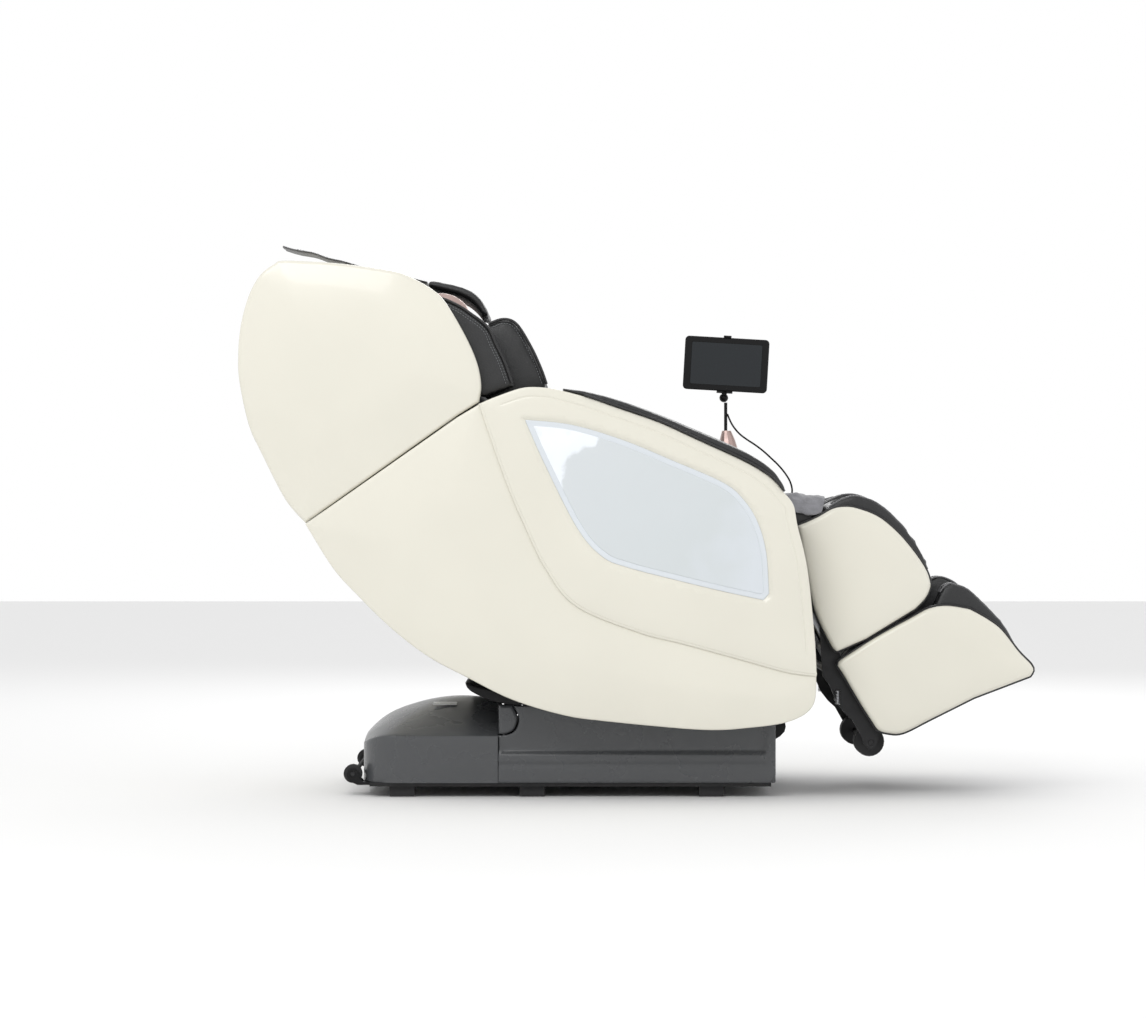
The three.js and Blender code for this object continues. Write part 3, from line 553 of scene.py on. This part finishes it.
def casings():
    bevel = np.vstack([offset(WINDOW, d) for d in (-7, -3.5, 2, 5)])
    for label, side in SIDES:
        made = panel(f"armrest_skin_{label}", "seat", ARMREST, side, HALF_WIDTH - CASING, HALF_WIDTH,
                     CREAM, rim=3.5, crown=7, reach=90, relief=window_relief,
                     rings=(17, 19, 20, 21, 22, 23, 25), extra=bevel)
        stand_for(made, "cream_shell", f"armrest_casing_{label}")
        # Border ring of the pane, lighter than the face by painted reflection.
        made = panel(f"side_window_{label}", "seat", offset(WINDOW, 1.2), side, HALF_WIDTH - 6.8,
                     HALF_WIDTH - 3.4, RIM_GLAZE, rim=1.5, back_rim=1, grid=16,
                     rings=(3, 6, 10))
        stand_for(made, "window_glaze", f"arm_window_{label}")
        made = panel(f"window_face_{label}", "seat", offset(WINDOW, 13), side, HALF_WIDTH - 4,
                     HALF_WIDTH - 2.2, GLAZE, rim=1.2, back_rim=0.5, grid=16, rings=(2.5, 5, 9))
        made = panel(f"lower_skin_{label}", "seat", LOWER, side, HALF_WIDTH - CASING, HALF_WIDTH,
                     CREAM, rim=3.5, crown=14, reach=150, grid=13,
                     rings=(9, 16, 26))
        stand_for(made, "cream_shell", f"lower_casing_{label}")
        made = panel(f"back_side_{label}", "back", BACK_SIDE, side, HALF_WIDTH - CASING, HALF_WIDTH,
                     CREAM, rim=7, crown=19, reach=170, grid=13,
                     rings=(11, 18, 28))
        stand_for(made, "cream_shell", f"back_shell_{label}")
        joint = spline(GROOVE, 9)
        filler = tube(f"groove_filler_{label}", [(x, side * (HALF_WIDTH - 13), z) for x, z in joint],
                      5, CREAM, "seat")
        trim = outline([(-384, 258), (-374, 241), (-330, 219), (-284, 209)],
                       [(-284, 209), (-200, 208.5)], [(-200, 208.5), (-200, 226)],
                       [(-200, 226), (-330, 244), (-384, 258)])
        made = panel(f"under_trim_{label}", "seat", trim, side, 130, 318, BLACK, rim=5)
        backing = outline([(-311, 139.5), (-293, 141), (-276, 151), (-268, 177), (-280, 206.5)],
                          [(-280, 206.5), (-311, 206.5)], [(-311, 206.5), (-311, 139.5)], step=5)
        made = panel(f"base_shoulder_{label}", "base", backing, side, 262, 276, GREY, rim=9,
                     back_rim=1, grid=6)


CALF = outline([(360, 607), (402, 625), (438, 645), (465, 650), (492, 647), (539, 629), (581, 596),
                (617, 555), (646, 513), (657, 484), (657, 466), (646, 444), (624, 421)],
               [(624, 421), (514, 354)], [(514, 354), (462, 331), (447, 326), (436, 338)],
               [(436, 338), (395, 430), (360, 607)])
FOOT = outline([(452, 302), (459, 308)],
               [(459, 308), (534, 356), (619, 403), (653, 421), (691, 428), (731, 423), (756, 415),
                (812, 379), (856, 325), (884, 296), (889, 282), (882, 270)],
               [(882, 270), (756, 222)],
               [(756, 222), (660, 174), (597, 143), (563, 142), (541, 149), (530, 164)],
               [(530, 164), (503, 206), (464, 272), (450, 294), (452, 302)])


def leg_panels():
    for label, side in SIDES:
        for name, body, line in (("calf", "legrest", CALF), ("foot", "footrest", FOOT)):
            made = panel(f"{name}_skin_{label}", body, line, side, LEG_HALF - LEG_PANEL, LEG_HALF,
                         CREAM, rim=9, crown=7, reach=70, grid=11)
            stand_for(made, "cream_shell", f"{name}_panel_{label}")
            edge = offset(line, -1.2)
            bead = tube(f"{name}_edge_{label}",
                        [(x, side * (LEG_HALF - LEG_PANEL + 1), z) for x, z in edge], 3.2, PIPING,
                        body, closed=True)


def band(name, body, outer, inner, half, material, rim=3):
    """A curved sheet of even section across the chair, from its outer to its inner line."""
    line = outline(outer, [outer[-1], inner[0]], inner, [inner[-1], outer[0]])
    flat, faces, border = filled(line, [], 40)
    points = [np.column_stack([flat[:, 0], np.full(len(flat), y), flat[:, 1]])
              for y in (-half, -half + rim, half - rim, half)]
    count = len(flat)
    all_faces = list(faces) + [tuple(i + 3 * count for i in f) for f in faces]
    for s in range(3):
        for i in range(len(border)):
            a, b = border[i], border[(i + 1) % len(border)]
            all_faces.append((a + s * count, b + s * count, b + (s + 1) * count, a + (s + 1) * count))
    return make(name, np.vstack(points), all_faces, material, body)


REAR_OUTER = [(-728, 618), (-773, 670), (-826, 772), (-853, 832), (-873, 921), (-877, 980),
              (-871, 1048), (-853, 1113), (-828, 1157), (-798, 1181), (-668, 1182), (-569, 1169),
              (-540, 1163)]
REAR_INNER = [(-542, 1150), (-571, 1156), (-668, 1168), (-790, 1166), (-816, 1148), (-840, 1108),
              (-857, 1046), (-863, 980), (-859, 923), (-840, 836), (-813, 777), (-762, 678),
              (-718, 626)]
UNDER_OUTER = [(-727, 606), (-671, 519), (-618, 460), (-540, 383), (-461, 324), (-377, 279)]
UNDER_INNER = [(-372, 290), (-454, 336), (-532, 394), (-608, 470), (-660, 527), (-716, 612)]


def rear_covers():
    """The rear shell and the cover under it, with the black lining behind them and two seams."""
    made = band("rear_skin", "back", REAR_OUTER, REAR_INNER, INNER, CREAM)
    stand_for(made, "cream_shell", "back_shell_rear")
    made = band("under_skin", "seat", UNDER_OUTER, UNDER_INNER, INNER, CREAM)
    stand_for(made, "cream_shell", "lower_rear_cover")
    lining = [(x + 2, z + 3) for x, z in UNDER_INNER[::-1]]
    made = band("well_lining", "seat", lining, [(x + 6, z + 6) for x, z in lining[::-1]], 325, BLACK)
    cheek = outline([(-716, 602), (-655, 524), (-604, 470), (-528, 402), (-452, 345), (-372, 300),
                     (-290, 266)], [(-290, 266), (-215, 520)], [(-215, 520), (-250, 700)],
                    [(-250, 700), (-340, 866)], [(-340, 866), (-716, 602)])
    for label, side in SIDES:
        made = panel(f"well_cheek_{label}", "seat", cheek, -side, -334.6, -327, BLACK, rim=2,
                     back_rim=0.5, grid=40)

    def arc(radius):
        angles = np.radians(np.linspace(147, 197, 18))
        return [(HINGE[0] + radius * math.cos(a), HINGE[1] + radius * math.sin(a)) for a in angles]

    made = band("rear_guard", "back", arc(371), arc(366)[::-1], 316, BLACK)
    path = spline(REAR_OUTER[:9], 10)
    for label, side in SIDES:
        line = [(x, side * 190, z) for x, z in offset_open(path, -0.6)]
        tube(f"rear_seam_{label}", line, 1.6, BLACK, "back")


def offset_open(line, distance):
    tangent = np.gradient(line, axis=0)
    tangent /= np.linalg.norm(tangent, axis=1, keepdims=True)
    return line + np.column_stack([-tangent[:, 1], tangent[:, 0]]) * distance


# ---- base ----
RISE = 73
DOME_REAR, DOME_FRONT = -619, -312
BASE_LOW = 31.4
BASE_FRONT_PROFILE = outline([(-312, BASE_LOW), (-312, 138)],
                             [(-312, 138), (-292, 139), (-273, 149), (-265, 177), (-278, 205)],
                             [(-278, 205), (290, 205)], [(290, 205), (304, 199), (310, 184)],
                             [(310, 184), (310, 50)],
                             [(310, 50), (306, 38), (294, BASE_LOW)],
                             [(294, BASE_LOW), (-312, BASE_LOW)], step=9)


def dome_ring(x, inset=0.0):
    """Section of the rear cover at one x: upright sides under a domed top."""
    t = (x - DOME_REAR) / (DOME_FRONT - DOME_REAR)
    corner = max(0, 1 - t / 0.3)
    half = BASE_HALF - 105 * (1 - math.sqrt(max(0, 1 - corner ** 2))) - inset
    side = 139 - 22 * corner ** 3 - inset
    rise = RISE * math.sin(math.pi * min(1, 0.06 + 0.62 * t))
    lower = np.array([(-half, z) for z in np.linspace(BASE_LOW, side - 7, 7)]
                     + [(-half + 0.8, side - 3), (-half + 3, side - 1), (-half + 6, side - 3.5)])
    s = np.linspace(-1, 1, 41)
    top = np.column_stack([s * (half - 8), side - 2 + rise * (1 - s ** 2)])
    ring = np.vstack([lower, top, lower[::-1] * (-1, 1)])
    return [(x, y, z) for y, z in ring]


def base_covers():
    xs = DOME_REAR + 306.6 * (1 - np.cos(np.linspace(0, 1, 26) * math.pi / 2))
    rings = [dome_ring(x) for x in xs] + [dome_ring(max(x, -615), 3.2) for x in xs[::-1]]
    count = len(rings[0])
    points = np.vstack(rings)
    total = len(rings)
    faces = grid_faces(total, count)
    end = (total - 1) * count
    faces += [tuple(range(count)), tuple(range(end, end + count)),
              (0, count - 1, end + count - 1, end)]
    last = len(xs) - 1
    for i in range(last):
        outer, inner = i * count, (total - 1 - i) * count
        step_outer, step_inner = (i + 1) * count, (total - 2 - i) * count
        faces.append((outer, step_outer, step_inner, inner))
        faces.append(tuple(k + count - 1 for k in (outer, inner, step_inner, step_outer)))
    dome = make("rear_dome", points, faces, GREY, "base", sharp=35)
    stand_for(dome, "grey_plastic", "base_cover_rear")

    def bands(p, _):
        """Upper wall set back above a long rib that stops short of the front edge."""
        along = np.clip((292 - p[:, 0]) / 10, 0, 1)
        hollow = np.clip((p[:, 1] - 93) / 12, 0, 1)
        ease = hollow * hollow * (3 - 2 * hollow)
        rising = np.clip((p[:, 1] - 112) / 80, 0, 1)
        return along * (8.5 * ease * (1 - 0.75 * rising) + groove(p[:, 1], 72, 2.5, 4))

    plates = [panel(f"base_side_{label}", "base", BASE_FRONT_PROFILE, side, BASE_HALF - 10,
                    BASE_HALF + 1, GREY, rim=4, back_rim=1, grid=5, relief=bands)
              for label, side in SIDES]
    front = outline([(-276, BASE_LOW), (-276, 150)], [(-276, 150), (-262, 165)],
                    [(-262, 165), (262, 165)], [(262, 165), (276, 150)],
                    [(276, 150), (276, BASE_LOW)], [(276, BASE_LOW), (-276, BASE_LOW)])
    flat, triangles, border = filled(front, rim_rings(3, 3), 24)
    sunk = rim_drop(np.maximum(depth_inside(flat, front), 0), 3)
    points = np.vstack([np.column_stack([310 - sunk, flat]),
                        np.column_stack([np.full(len(flat), 301), flat])])
    count = len(flat)
    faces = list(triangles) + [tuple(i + count for i in f) for f in triangles]
    faces += [(border[i], border[(i + 1) % len(border)], border[(i + 1) % len(border)] + count,
               border[i] + count) for i in range(len(border))]
    plates.append(make("base_front", points, faces, GREY, "base"))
    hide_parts("base_cover_front")


# ---- padded leather ----
def swelling(node, voxel=0.009, shrink=2.5, smooth=5, pinned=None, pressure=4.0):
    """Copy of a CAD soft solid, remeshed and softened, ready to be inflated as cloth."""
    source = nodes[node]
    mesh = source.data.copy()
    mesh.transform(source.matrix_world)
    obj = bpy.data.objects.new(f"{node}_soft", mesh)
    bpy.context.scene.collection.objects.link(obj)
    remesh = obj.modifiers.new("remesh", "REMESH")
    remesh.mode = "VOXEL"
    remesh.voxel_size = voxel
    settle(obj)
    work = bmesh.new()
    work.from_mesh(obj.data)
    for _ in range(smooth):
        bmesh.ops.smooth_vert(work, verts=work.verts, factor=0.5, use_axis_x=True, use_axis_y=True,
                              use_axis_z=True)
    work.normal_update()
    held = []
    for vertex in work.verts:
        if pinned and pinned(vertex.co / MM, vertex.normal):
            held.append(vertex.index)
        else:
            vertex.co -= vertex.normal * shrink * MM
    work.to_mesh(obj.data)
    work.free()
    if held:
        obj.vertex_groups.new(name="held").add(held, 1.0, "REPLACE")
    cloth = obj.modifiers.new("cloth", "CLOTH")
    cloth.settings.use_pressure = True
    cloth.settings.uniform_pressure_force = pressure
    cloth.settings.effector_weights.gravity = 0
    cloth.settings.quality = 4
    cloth.settings.tension_stiffness = cloth.settings.compression_stiffness = 14
    cloth.settings.bending_stiffness = 1.2
    cloth.point_cache.frame_end = SIM_FRAMES
    if held:
        cloth.settings.vertex_group_mass = "held"
    return obj


def settle(obj):
    """Applies the object's modifiers to its mesh."""
    graph = bpy.context.evaluated_depsgraph_get()
    done = bpy.data.meshes.new_from_object(obj.evaluated_get(graph))
    obj.modifiers.clear()
    obj.data = done


def inflate(pieces):
    """Runs every cloth together, then keeps each point within its piece's cap."""
    scene = bpy.context.scene
    for frame_number in range(1, SIM_FRAMES + 1):
        scene.frame_set(frame_number)
    for obj, cap in pieces:
        before = vertices(obj)
        settle(obj)
        move = vertices(obj) - before
        length = np.linalg.norm(move, axis=1, keepdims=True)
        limit = cap * MM
        move *= limit * np.tanh(length / limit) / np.maximum(length, 1e-9)
        place_vertices(obj, before + move)
    scene.frame_set(1)


def vertices(obj):
    flat = np.empty(len(obj.data.vertices) * 3)
    obj.data.vertices.foreach_get("co", flat)
    return flat.reshape(-1, 3)


def place_vertices(obj, points):
    obj.data.vertices.foreach_set("co", points.ravel())
    obj.data.update()


def upholster(obj, body, node, sew=None):
    """Final mesh of a padded piece: finer faces, sewn channels, leather, and its body."""
    subdivide(obj)
    if sew:
        normals = np.empty(len(obj.data.vertices) * 3)
        obj.data.vertex_normals.foreach_get("vector", normals)
        normals = normals.reshape(-1, 3)
        points = vertices(obj)
        depth = sew(points / MM) * (1 - np.abs(normals[:, 1])) ** 0.5
        place_vertices(obj, points - normals * depth[:, None] * MM)
    obj.data.materials.clear()
    obj.data.materials.append(LEATHER)
    obj.data.shade_smooth()
    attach(obj, body)
    stand_for(obj, "black_leather", node)


def subdivide(obj):
    modifier = obj.modifiers.new("round", "SUBSURF")
    modifier.levels = modifier.render_levels = 1
    settle(obj)


# body, cap, voxel, shrink and smoothing of the pads that come in pairs
PAIRED = {"arm_pad": ("seat", 4, 0.006, 1.5, 6), "arm_liner": ("seat", 6, 0.009, 2.5, 5),
          "bolster": ("back", 7, 0.007, 2, 6), "shoulder_pad": ("back", 8, 0.006, 2, 6)}


def cushions():
    """Every padded piece is inflated in one run, then sewn and placed on its body."""
    lean = Vector((math.cos(RECLINE), 0, math.sin(RECLINE)))

    def on_back(c, n):
        return n.dot(lean) < -0.5

    def on_leg(c, n):
        return n.z < -0.4 or abs(c.y) > 251

    seat = swelling("seat_cushion", pinned=lambda c, n: n.z < -0.5 and c.z < 560)
    back = swelling("back_cushion", pinned=on_back)
    head = swelling("headrest", pinned=on_back)
    pillow = swelling("head_pillow", voxel=0.0065, shrink=2, pressure=3)
    calf = swelling("calf_cushion", pinned=on_leg)
    foot = swelling("foot_cushion", pinned=on_leg)
    pairs = []
    for label, side in SIDES:
        held = {"arm_pad": lambda c, n: n.z < -0.3, "shoulder_pad": None}
        for kind, (body, cap, *cloth) in PAIRED.items():
            node = f"{kind}_{label}"
            pinned = held.get(kind, lambda c, n: n.y * side > 0.5)
            pairs.append((swelling(node, *cloth, pinned), node, body, cap))
    inflate([(seat, 24), (back, 22), (head, 22), (pillow, 2), (calf, 9), (foot, 8)]
            + [(obj, cap) for obj, _, _, cap in pairs])

    def seat_sewing(c):
        up = np.clip((c[:, 2] - 575) / 20, 0, 1)
        across = np.abs(c[:, 1])
        rows = groove(c[:, 0], 60, 7, 5) + groove(c[:, 0], 165, 7, 5)
        return up * (groove(across, 168, 7, 5) + (across < 168) * rows)

    def back_sewing(c):
        u = (-(c[:, 0] - HINGE[0]) + (c[:, 2] - HINGE[1])) / math.sqrt(2)
        across = np.abs(c[:, 1])
        rows = sum(groove(u, k, 6, 5) for k in (190, 290, 390))
        return groove(across, 130, 7, 5) + (across < 130) * rows

    def leg_sewing(c):
        across = np.abs(c[:, 1])
        wall = np.clip((across - 120) / 90, 0, 1)
        channels = groove(across, 30, 5, 3.5) + groove(across, 214, 5, 3.5)
        return channels + 11 * wall ** 2 * (3 - 2 * wall)

    upholster(seat, "seat", "seat_cushion", sew=seat_sewing)
    upholster(back, "back", "back_cushion", sew=back_sewing)
    upholster(head, "back", "headrest", sew=lambda c: groove(np.abs(c[:, 1]), 110, 6, 5))
    upholster(pillow, "back", "head_pillow", sew=lambda c: groove(np.abs(c[:, 1]), 75, 2.5, 4))
    upholster(calf, "legrest", "calf_cushion", sew=leg_sewing)
    upholster(foot, "footrest", "foot_cushion", sew=leg_sewing)
    ribs(calf, foot)
    for obj, node, body, _ in pairs:
        upholster(obj, body, node)


def seams_and_piping():
    """Piping beads and stitch rows that the remesh would have erased."""
    front = spline([(-335, 1063), (-300, 1074), (-268, 1062), (-235, 1010), (-212, 960),
                    (-200, 926)], 7)
    edge = spline([(-500, 1124), (-440, 1118), (-400, 1102), (-370, 1083), (-331, 1052), (-311, 1011),
                   (-293, 974), (-276, 926)], 7)

    arm_edge = spline([(x, z + 4) for x, z in ARM_TOP[1:]], 8)

    def bead(name, body, line, y, radius):
        tube(name, [(x, y, z) for x, z in line], radius, PIPING, body)

    def sewn(name, line, y):
        stitches(name, [(x, y, z) for x, z in line], THREAD, "back")

    for label, side in SIDES:
        bead(f"arm_pad_bead_{label}", "seat", arm_edge, side * 391, 2.6)
        bead(f"shoulder_bead_{label}", "back", offset_open(front, -3.5), side * 273, 3.2)
        sewn(f"shoulder_stitches_{label}", offset_open(front, -13), side * 273.5)
        bead(f"bolster_bead_{label}", "back", offset_open(edge, -4), side * 330, 3.4)
        for row, inset in enumerate((-12, -17)):
            sewn(f"bolster_stitches_{label}_{row}", offset_open(edge, inset)[8:], side * 331.6)


def strap():
    """The leather strap over the top of the back, thinner and narrower towards its free end."""
    path = spline([(-816, 1252), (-800, 1247), (-750, 1237), (-697, 1221), (-590, 1194),
                   (-481, 1168)], 12)
    normal = offset_open(path, 1.0) - path
    count, stations = len(path), np.linspace(-STRAP_HALF, STRAP_HALF, 19)
    points = []
    for lift_by in (2.3, -2.3):
        for y in stations:
            taper = 1 - 0.35 * (1 - np.arange(count) / count) ** 3
            wave = 1.2 * math.sin(y / 17) + 2.6 * (taper < 0.97) * np.sin(path[:, 0] / 11)
            edge = 1.6 * (abs(y) > STRAP_HALF - 4)
            line = path + normal * (lift_by - math.copysign(edge, lift_by) + wave * 0.3)[:, None]
            points.append(np.column_stack([line[:, 0], y * taper, line[:, 1]]))
    wide, under = len(stations), len(stations) * count
    faces = grid_faces(wide, count) + grid_faces(wide, count, under)
    sides = [(j * count + i, 1) for j in (0, wide - 1) for i in range(count - 1)]
    sides += [(j * count + i, count) for i in (0, count - 1) for j in range(wide - 1)]
    faces += [(a, a + step, a + step + under, a + under) for a, step in sides]
    made = make("strap_leather", np.vstack(points), faces, PIPING, "back", sharp=50)
    stand_for(made, "black_leather", "pillow_strap")
    line = offset_open(path, 2.4)[2:-2]
    for label, side in SIDES:
        row = stitches(f"strap_stitches_{label}", [(x, side * 50, z) for x, z in line], THREAD, "back")


def thickened(name, rows, material, thickness):
    """Sheet through rows of points that have the same count, given its thickness in metres."""
    obj = make(name, np.vstack(rows), grid_faces(len(rows), len(rows[0])), material, sharp=0)
    obj.modifiers.new("thick", "SOLIDIFY").thickness = thickness
    settle(obj)
    return obj


def crease(x, y):
    """Irregular crumple of the loose cloth, in millimetres."""
    broad = noise.noise(Vector((x / 42, y / 30, 0.3)))
    fine = noise.noise(Vector((x / 15 + y / 60, y / 13, 4.1)))
    ridge = 1 - 2 * abs(noise.noise(Vector((x / 60 + 3, y / 36, 9.2))))
    return 5.5 * broad + 2.2 * fine + 3.0 * (ridge - 0.6)


def knee_sheet():
    """Loose cloth over the gap between the seat nose and the calf cushion, hanging at its edges."""
    profile = spline([(322, 674), (345, 678), (372, 677), (398, 673), (426, 671)], 3.5)
    points = []
    ys = np.linspace(-KNEE_HALF, KNEE_HALF, 170)
    along = np.linspace(0, 1, len(profile))
    for y in ys:
        hang = np.clip((abs(y) - KNEE_HANGS_FROM) / 44, 0, 1) ** 1.4
        drop = 44 * hang * (0.35 + 0.65 * np.sin(along * 2.6))
        fold = np.array([crease(x, y) for x in profile[:, 0]])
        points.append(np.column_stack([profile[:, 0] + 0.8 * fold - 10 * hang * along,
                                       np.full(len(profile), y - math.copysign(8, y) * hang),
                                       profile[:, 1] + fold - drop]))
    cloth = thickened("knee_cover", points, CLOTH, 0.0018)
    stand_for(cloth, "grey_cloth", "knee_cloth")
    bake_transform(cloth)

    gusset = outline([(340, 602), (340, 640)], [(340, 640), (392, 636)],
                     [(392, 636), (394, 624), (364, 606), (340, 602)])
    for label, side in SIDES:
        made = panel(f"knee_gusset_{label}", None, gusset, side, 241, 249, PIPING, rim=2, back_rim=1)
        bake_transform(made)


def ribs(calf, foot):
    """Raised welts along the padded walls and divider of the leg rest, laid on the leather, in pale
    grey leather that paints highlight lines on the black ribs.
    """
    calf_top = spline([(420, 668), (461, 690), (490, 696), (520, 690), (574, 653), (628, 594),
                       (670, 515)], 8)
    foot_top = spline([(664, 470), (688, 492), (737, 490), (770, 468), (818, 424), (852, 374),
                       (874, 318)], 8)
    for name, body, obj, line in (("calf", "legrest", calf, calf_top),
                                  ("foot", "footrest", foot, foot_top)):
        for y in (-236, -196, -28, 28, 196, 236):
            laid = []
            for x, z in line:
                _, place, normal, _ = obj.closest_point_on_mesh(Vector((x, y, z)) * MM)
                laid.append(tuple((place + normal * 0.0004) / MM))
            tube(f"{name}_welt_{y + 300}", laid, 2.8, PAINTED_HIGHLIGHT_LEATHER, body, sides=8)


# ---- the tablet's lead, and small parts ----
LEAD_ROUTE = [(233, 328.5, 877), (238, 328, 864), (247, 328, 847), (262, 328, 829), (280, 328, 815),
              (300, 329, 802), (320, 330, 787), (340, 332, 769), (358, 335, 752), (374, 338, 733),
              (386, 342, 714), (392, 347, 695), (391, 352, 678), (383, 356, 664), (370, 359, 656),
              (356, 360, 653)]


def lead():
    """The tablet's lead: out of the stand's foot, over the arm pad, into a grommet in the arm."""
    path = spline(LEAD_ROUTE, 4)
    obj = tube("lead_cable", path, LEAD_DIAMETER / MM / 2, BLACK, "seat", sides=14)
    stand_for(obj, "black_plastic", "tablet_lead")


def block(name, low, high, round_by, material, body, pivot, turn):
    """Box between two corners in millimetres, with rounded edges, turned about a pivot."""
    mesh = bpy.data.meshes.new(name)
    work = bmesh.new()
    bmesh.ops.create_cube(work, size=1)
    size = Vector(high) - Vector(low)
    for vertex in work.verts:
        vertex.co = Vector([vertex.co[k] * size[k] + (high[k] + low[k]) / 2 for k in range(3)]) * MM
    bmesh.ops.bevel(work, geom=work.edges[:], offset=round_by * MM, segments=3, affect="EDGES",
                    profile=0.5)
    bmesh.ops.rotate(work, verts=work.verts, cent=Vector(pivot) * MM, matrix=turn)
    work.to_mesh(mesh)
    work.free()
    mesh.materials.append(material)
    mesh.shade_smooth()
    mesh.set_sharp_from_angle(angle=math.radians(35))
    obj = bpy.data.objects.new(name, mesh)
    bpy.context.scene.collection.objects.link(obj)
    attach(obj, body)
    return obj


def small_parts():
    """The blank rating plate, the leg springs and the leather lining of the armrests."""
    tilt = Matrix.Rotation(math.radians(12), 3, "X")
    block("rating_plate", (-464, -128, 198.5), (-410, -104, 200), 0.5, ZINC, "base",
          (-437, -116, 198), tilt)
    lining = outline([(-312, 868), (-250, 893), (-190, 890), (-120, 874), (-40, 846)],
                     [(-40, 846), (-36, 560)], [(-36, 560), (-205, 560)], [(-205, 560), (-312, 868)])
    for label, side in SIDES:
        made = panel(f"arm_lining_{label}", "seat", lining, -side, -334.5, -322, LEATHER, rim=8,
                     back_rim=1)
        turns = np.linspace(0, 9 * 2 * math.pi, 150)
        coil = [(452 + 5 * math.cos(a), side * 236 + 5 * math.sin(a), 205 + 3.4 * a / (2 * math.pi))
                for a in turns]
        tube(f"leg_spring_{label}", coil, 1.1, ZINC, "legrest", sides=8)


def bridge():
    """Leather skirt that closes the gap between the seat and back cushions."""
    profile = spline([(-72, 566), (-98, 578), (-130, 588), (-160, 606), (-184, 636)], 7)
    ys = np.linspace(-SKIRT_HALF, SKIRT_HALF, 68)
    count = len(profile)
    points = []
    sag = np.sin(np.linspace(0, 1, count) * math.pi)
    for y in ys:
        pucker = 2.2 * math.cos(y / 21) + 1.2 * math.sin(y / 8.5)
        points.append(np.column_stack([profile[:, 0], np.full(count, y), profile[:, 1] - pucker * sag]))
    skirt = thickened("waist_skirt", points, LEATHER, 0.006)
    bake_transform(skirt)


FINISHES = {"cream_shell": CREAM, "window_glaze": GLAZE, "black_leather": LEATHER,
            "grey_plastic": GREY, "black_plastic": BLACK, "black_steel": STEEL, "zinc_steel": ZINC,
            "rose_gold": ROSE, "black_rubber": RUBBER, "grey_cloth": CLOTH, "screen_glass": SCREEN}


def finish_cad_nodes():
    """Gives every CAD node its finish."""
    for entry in frame["record"]["subparts"]:
        mesh = nodes[entry["node"]].data
        mesh.materials.clear()
        mesh.materials.append(FINISHES[entry["material_slot"]])


finish_cad_nodes()
lead()
casings()
leg_panels()
rear_covers()
base_covers()
cushions()
seams_and_piping()
strap()
knee_sheet()
bridge()
small_parts()
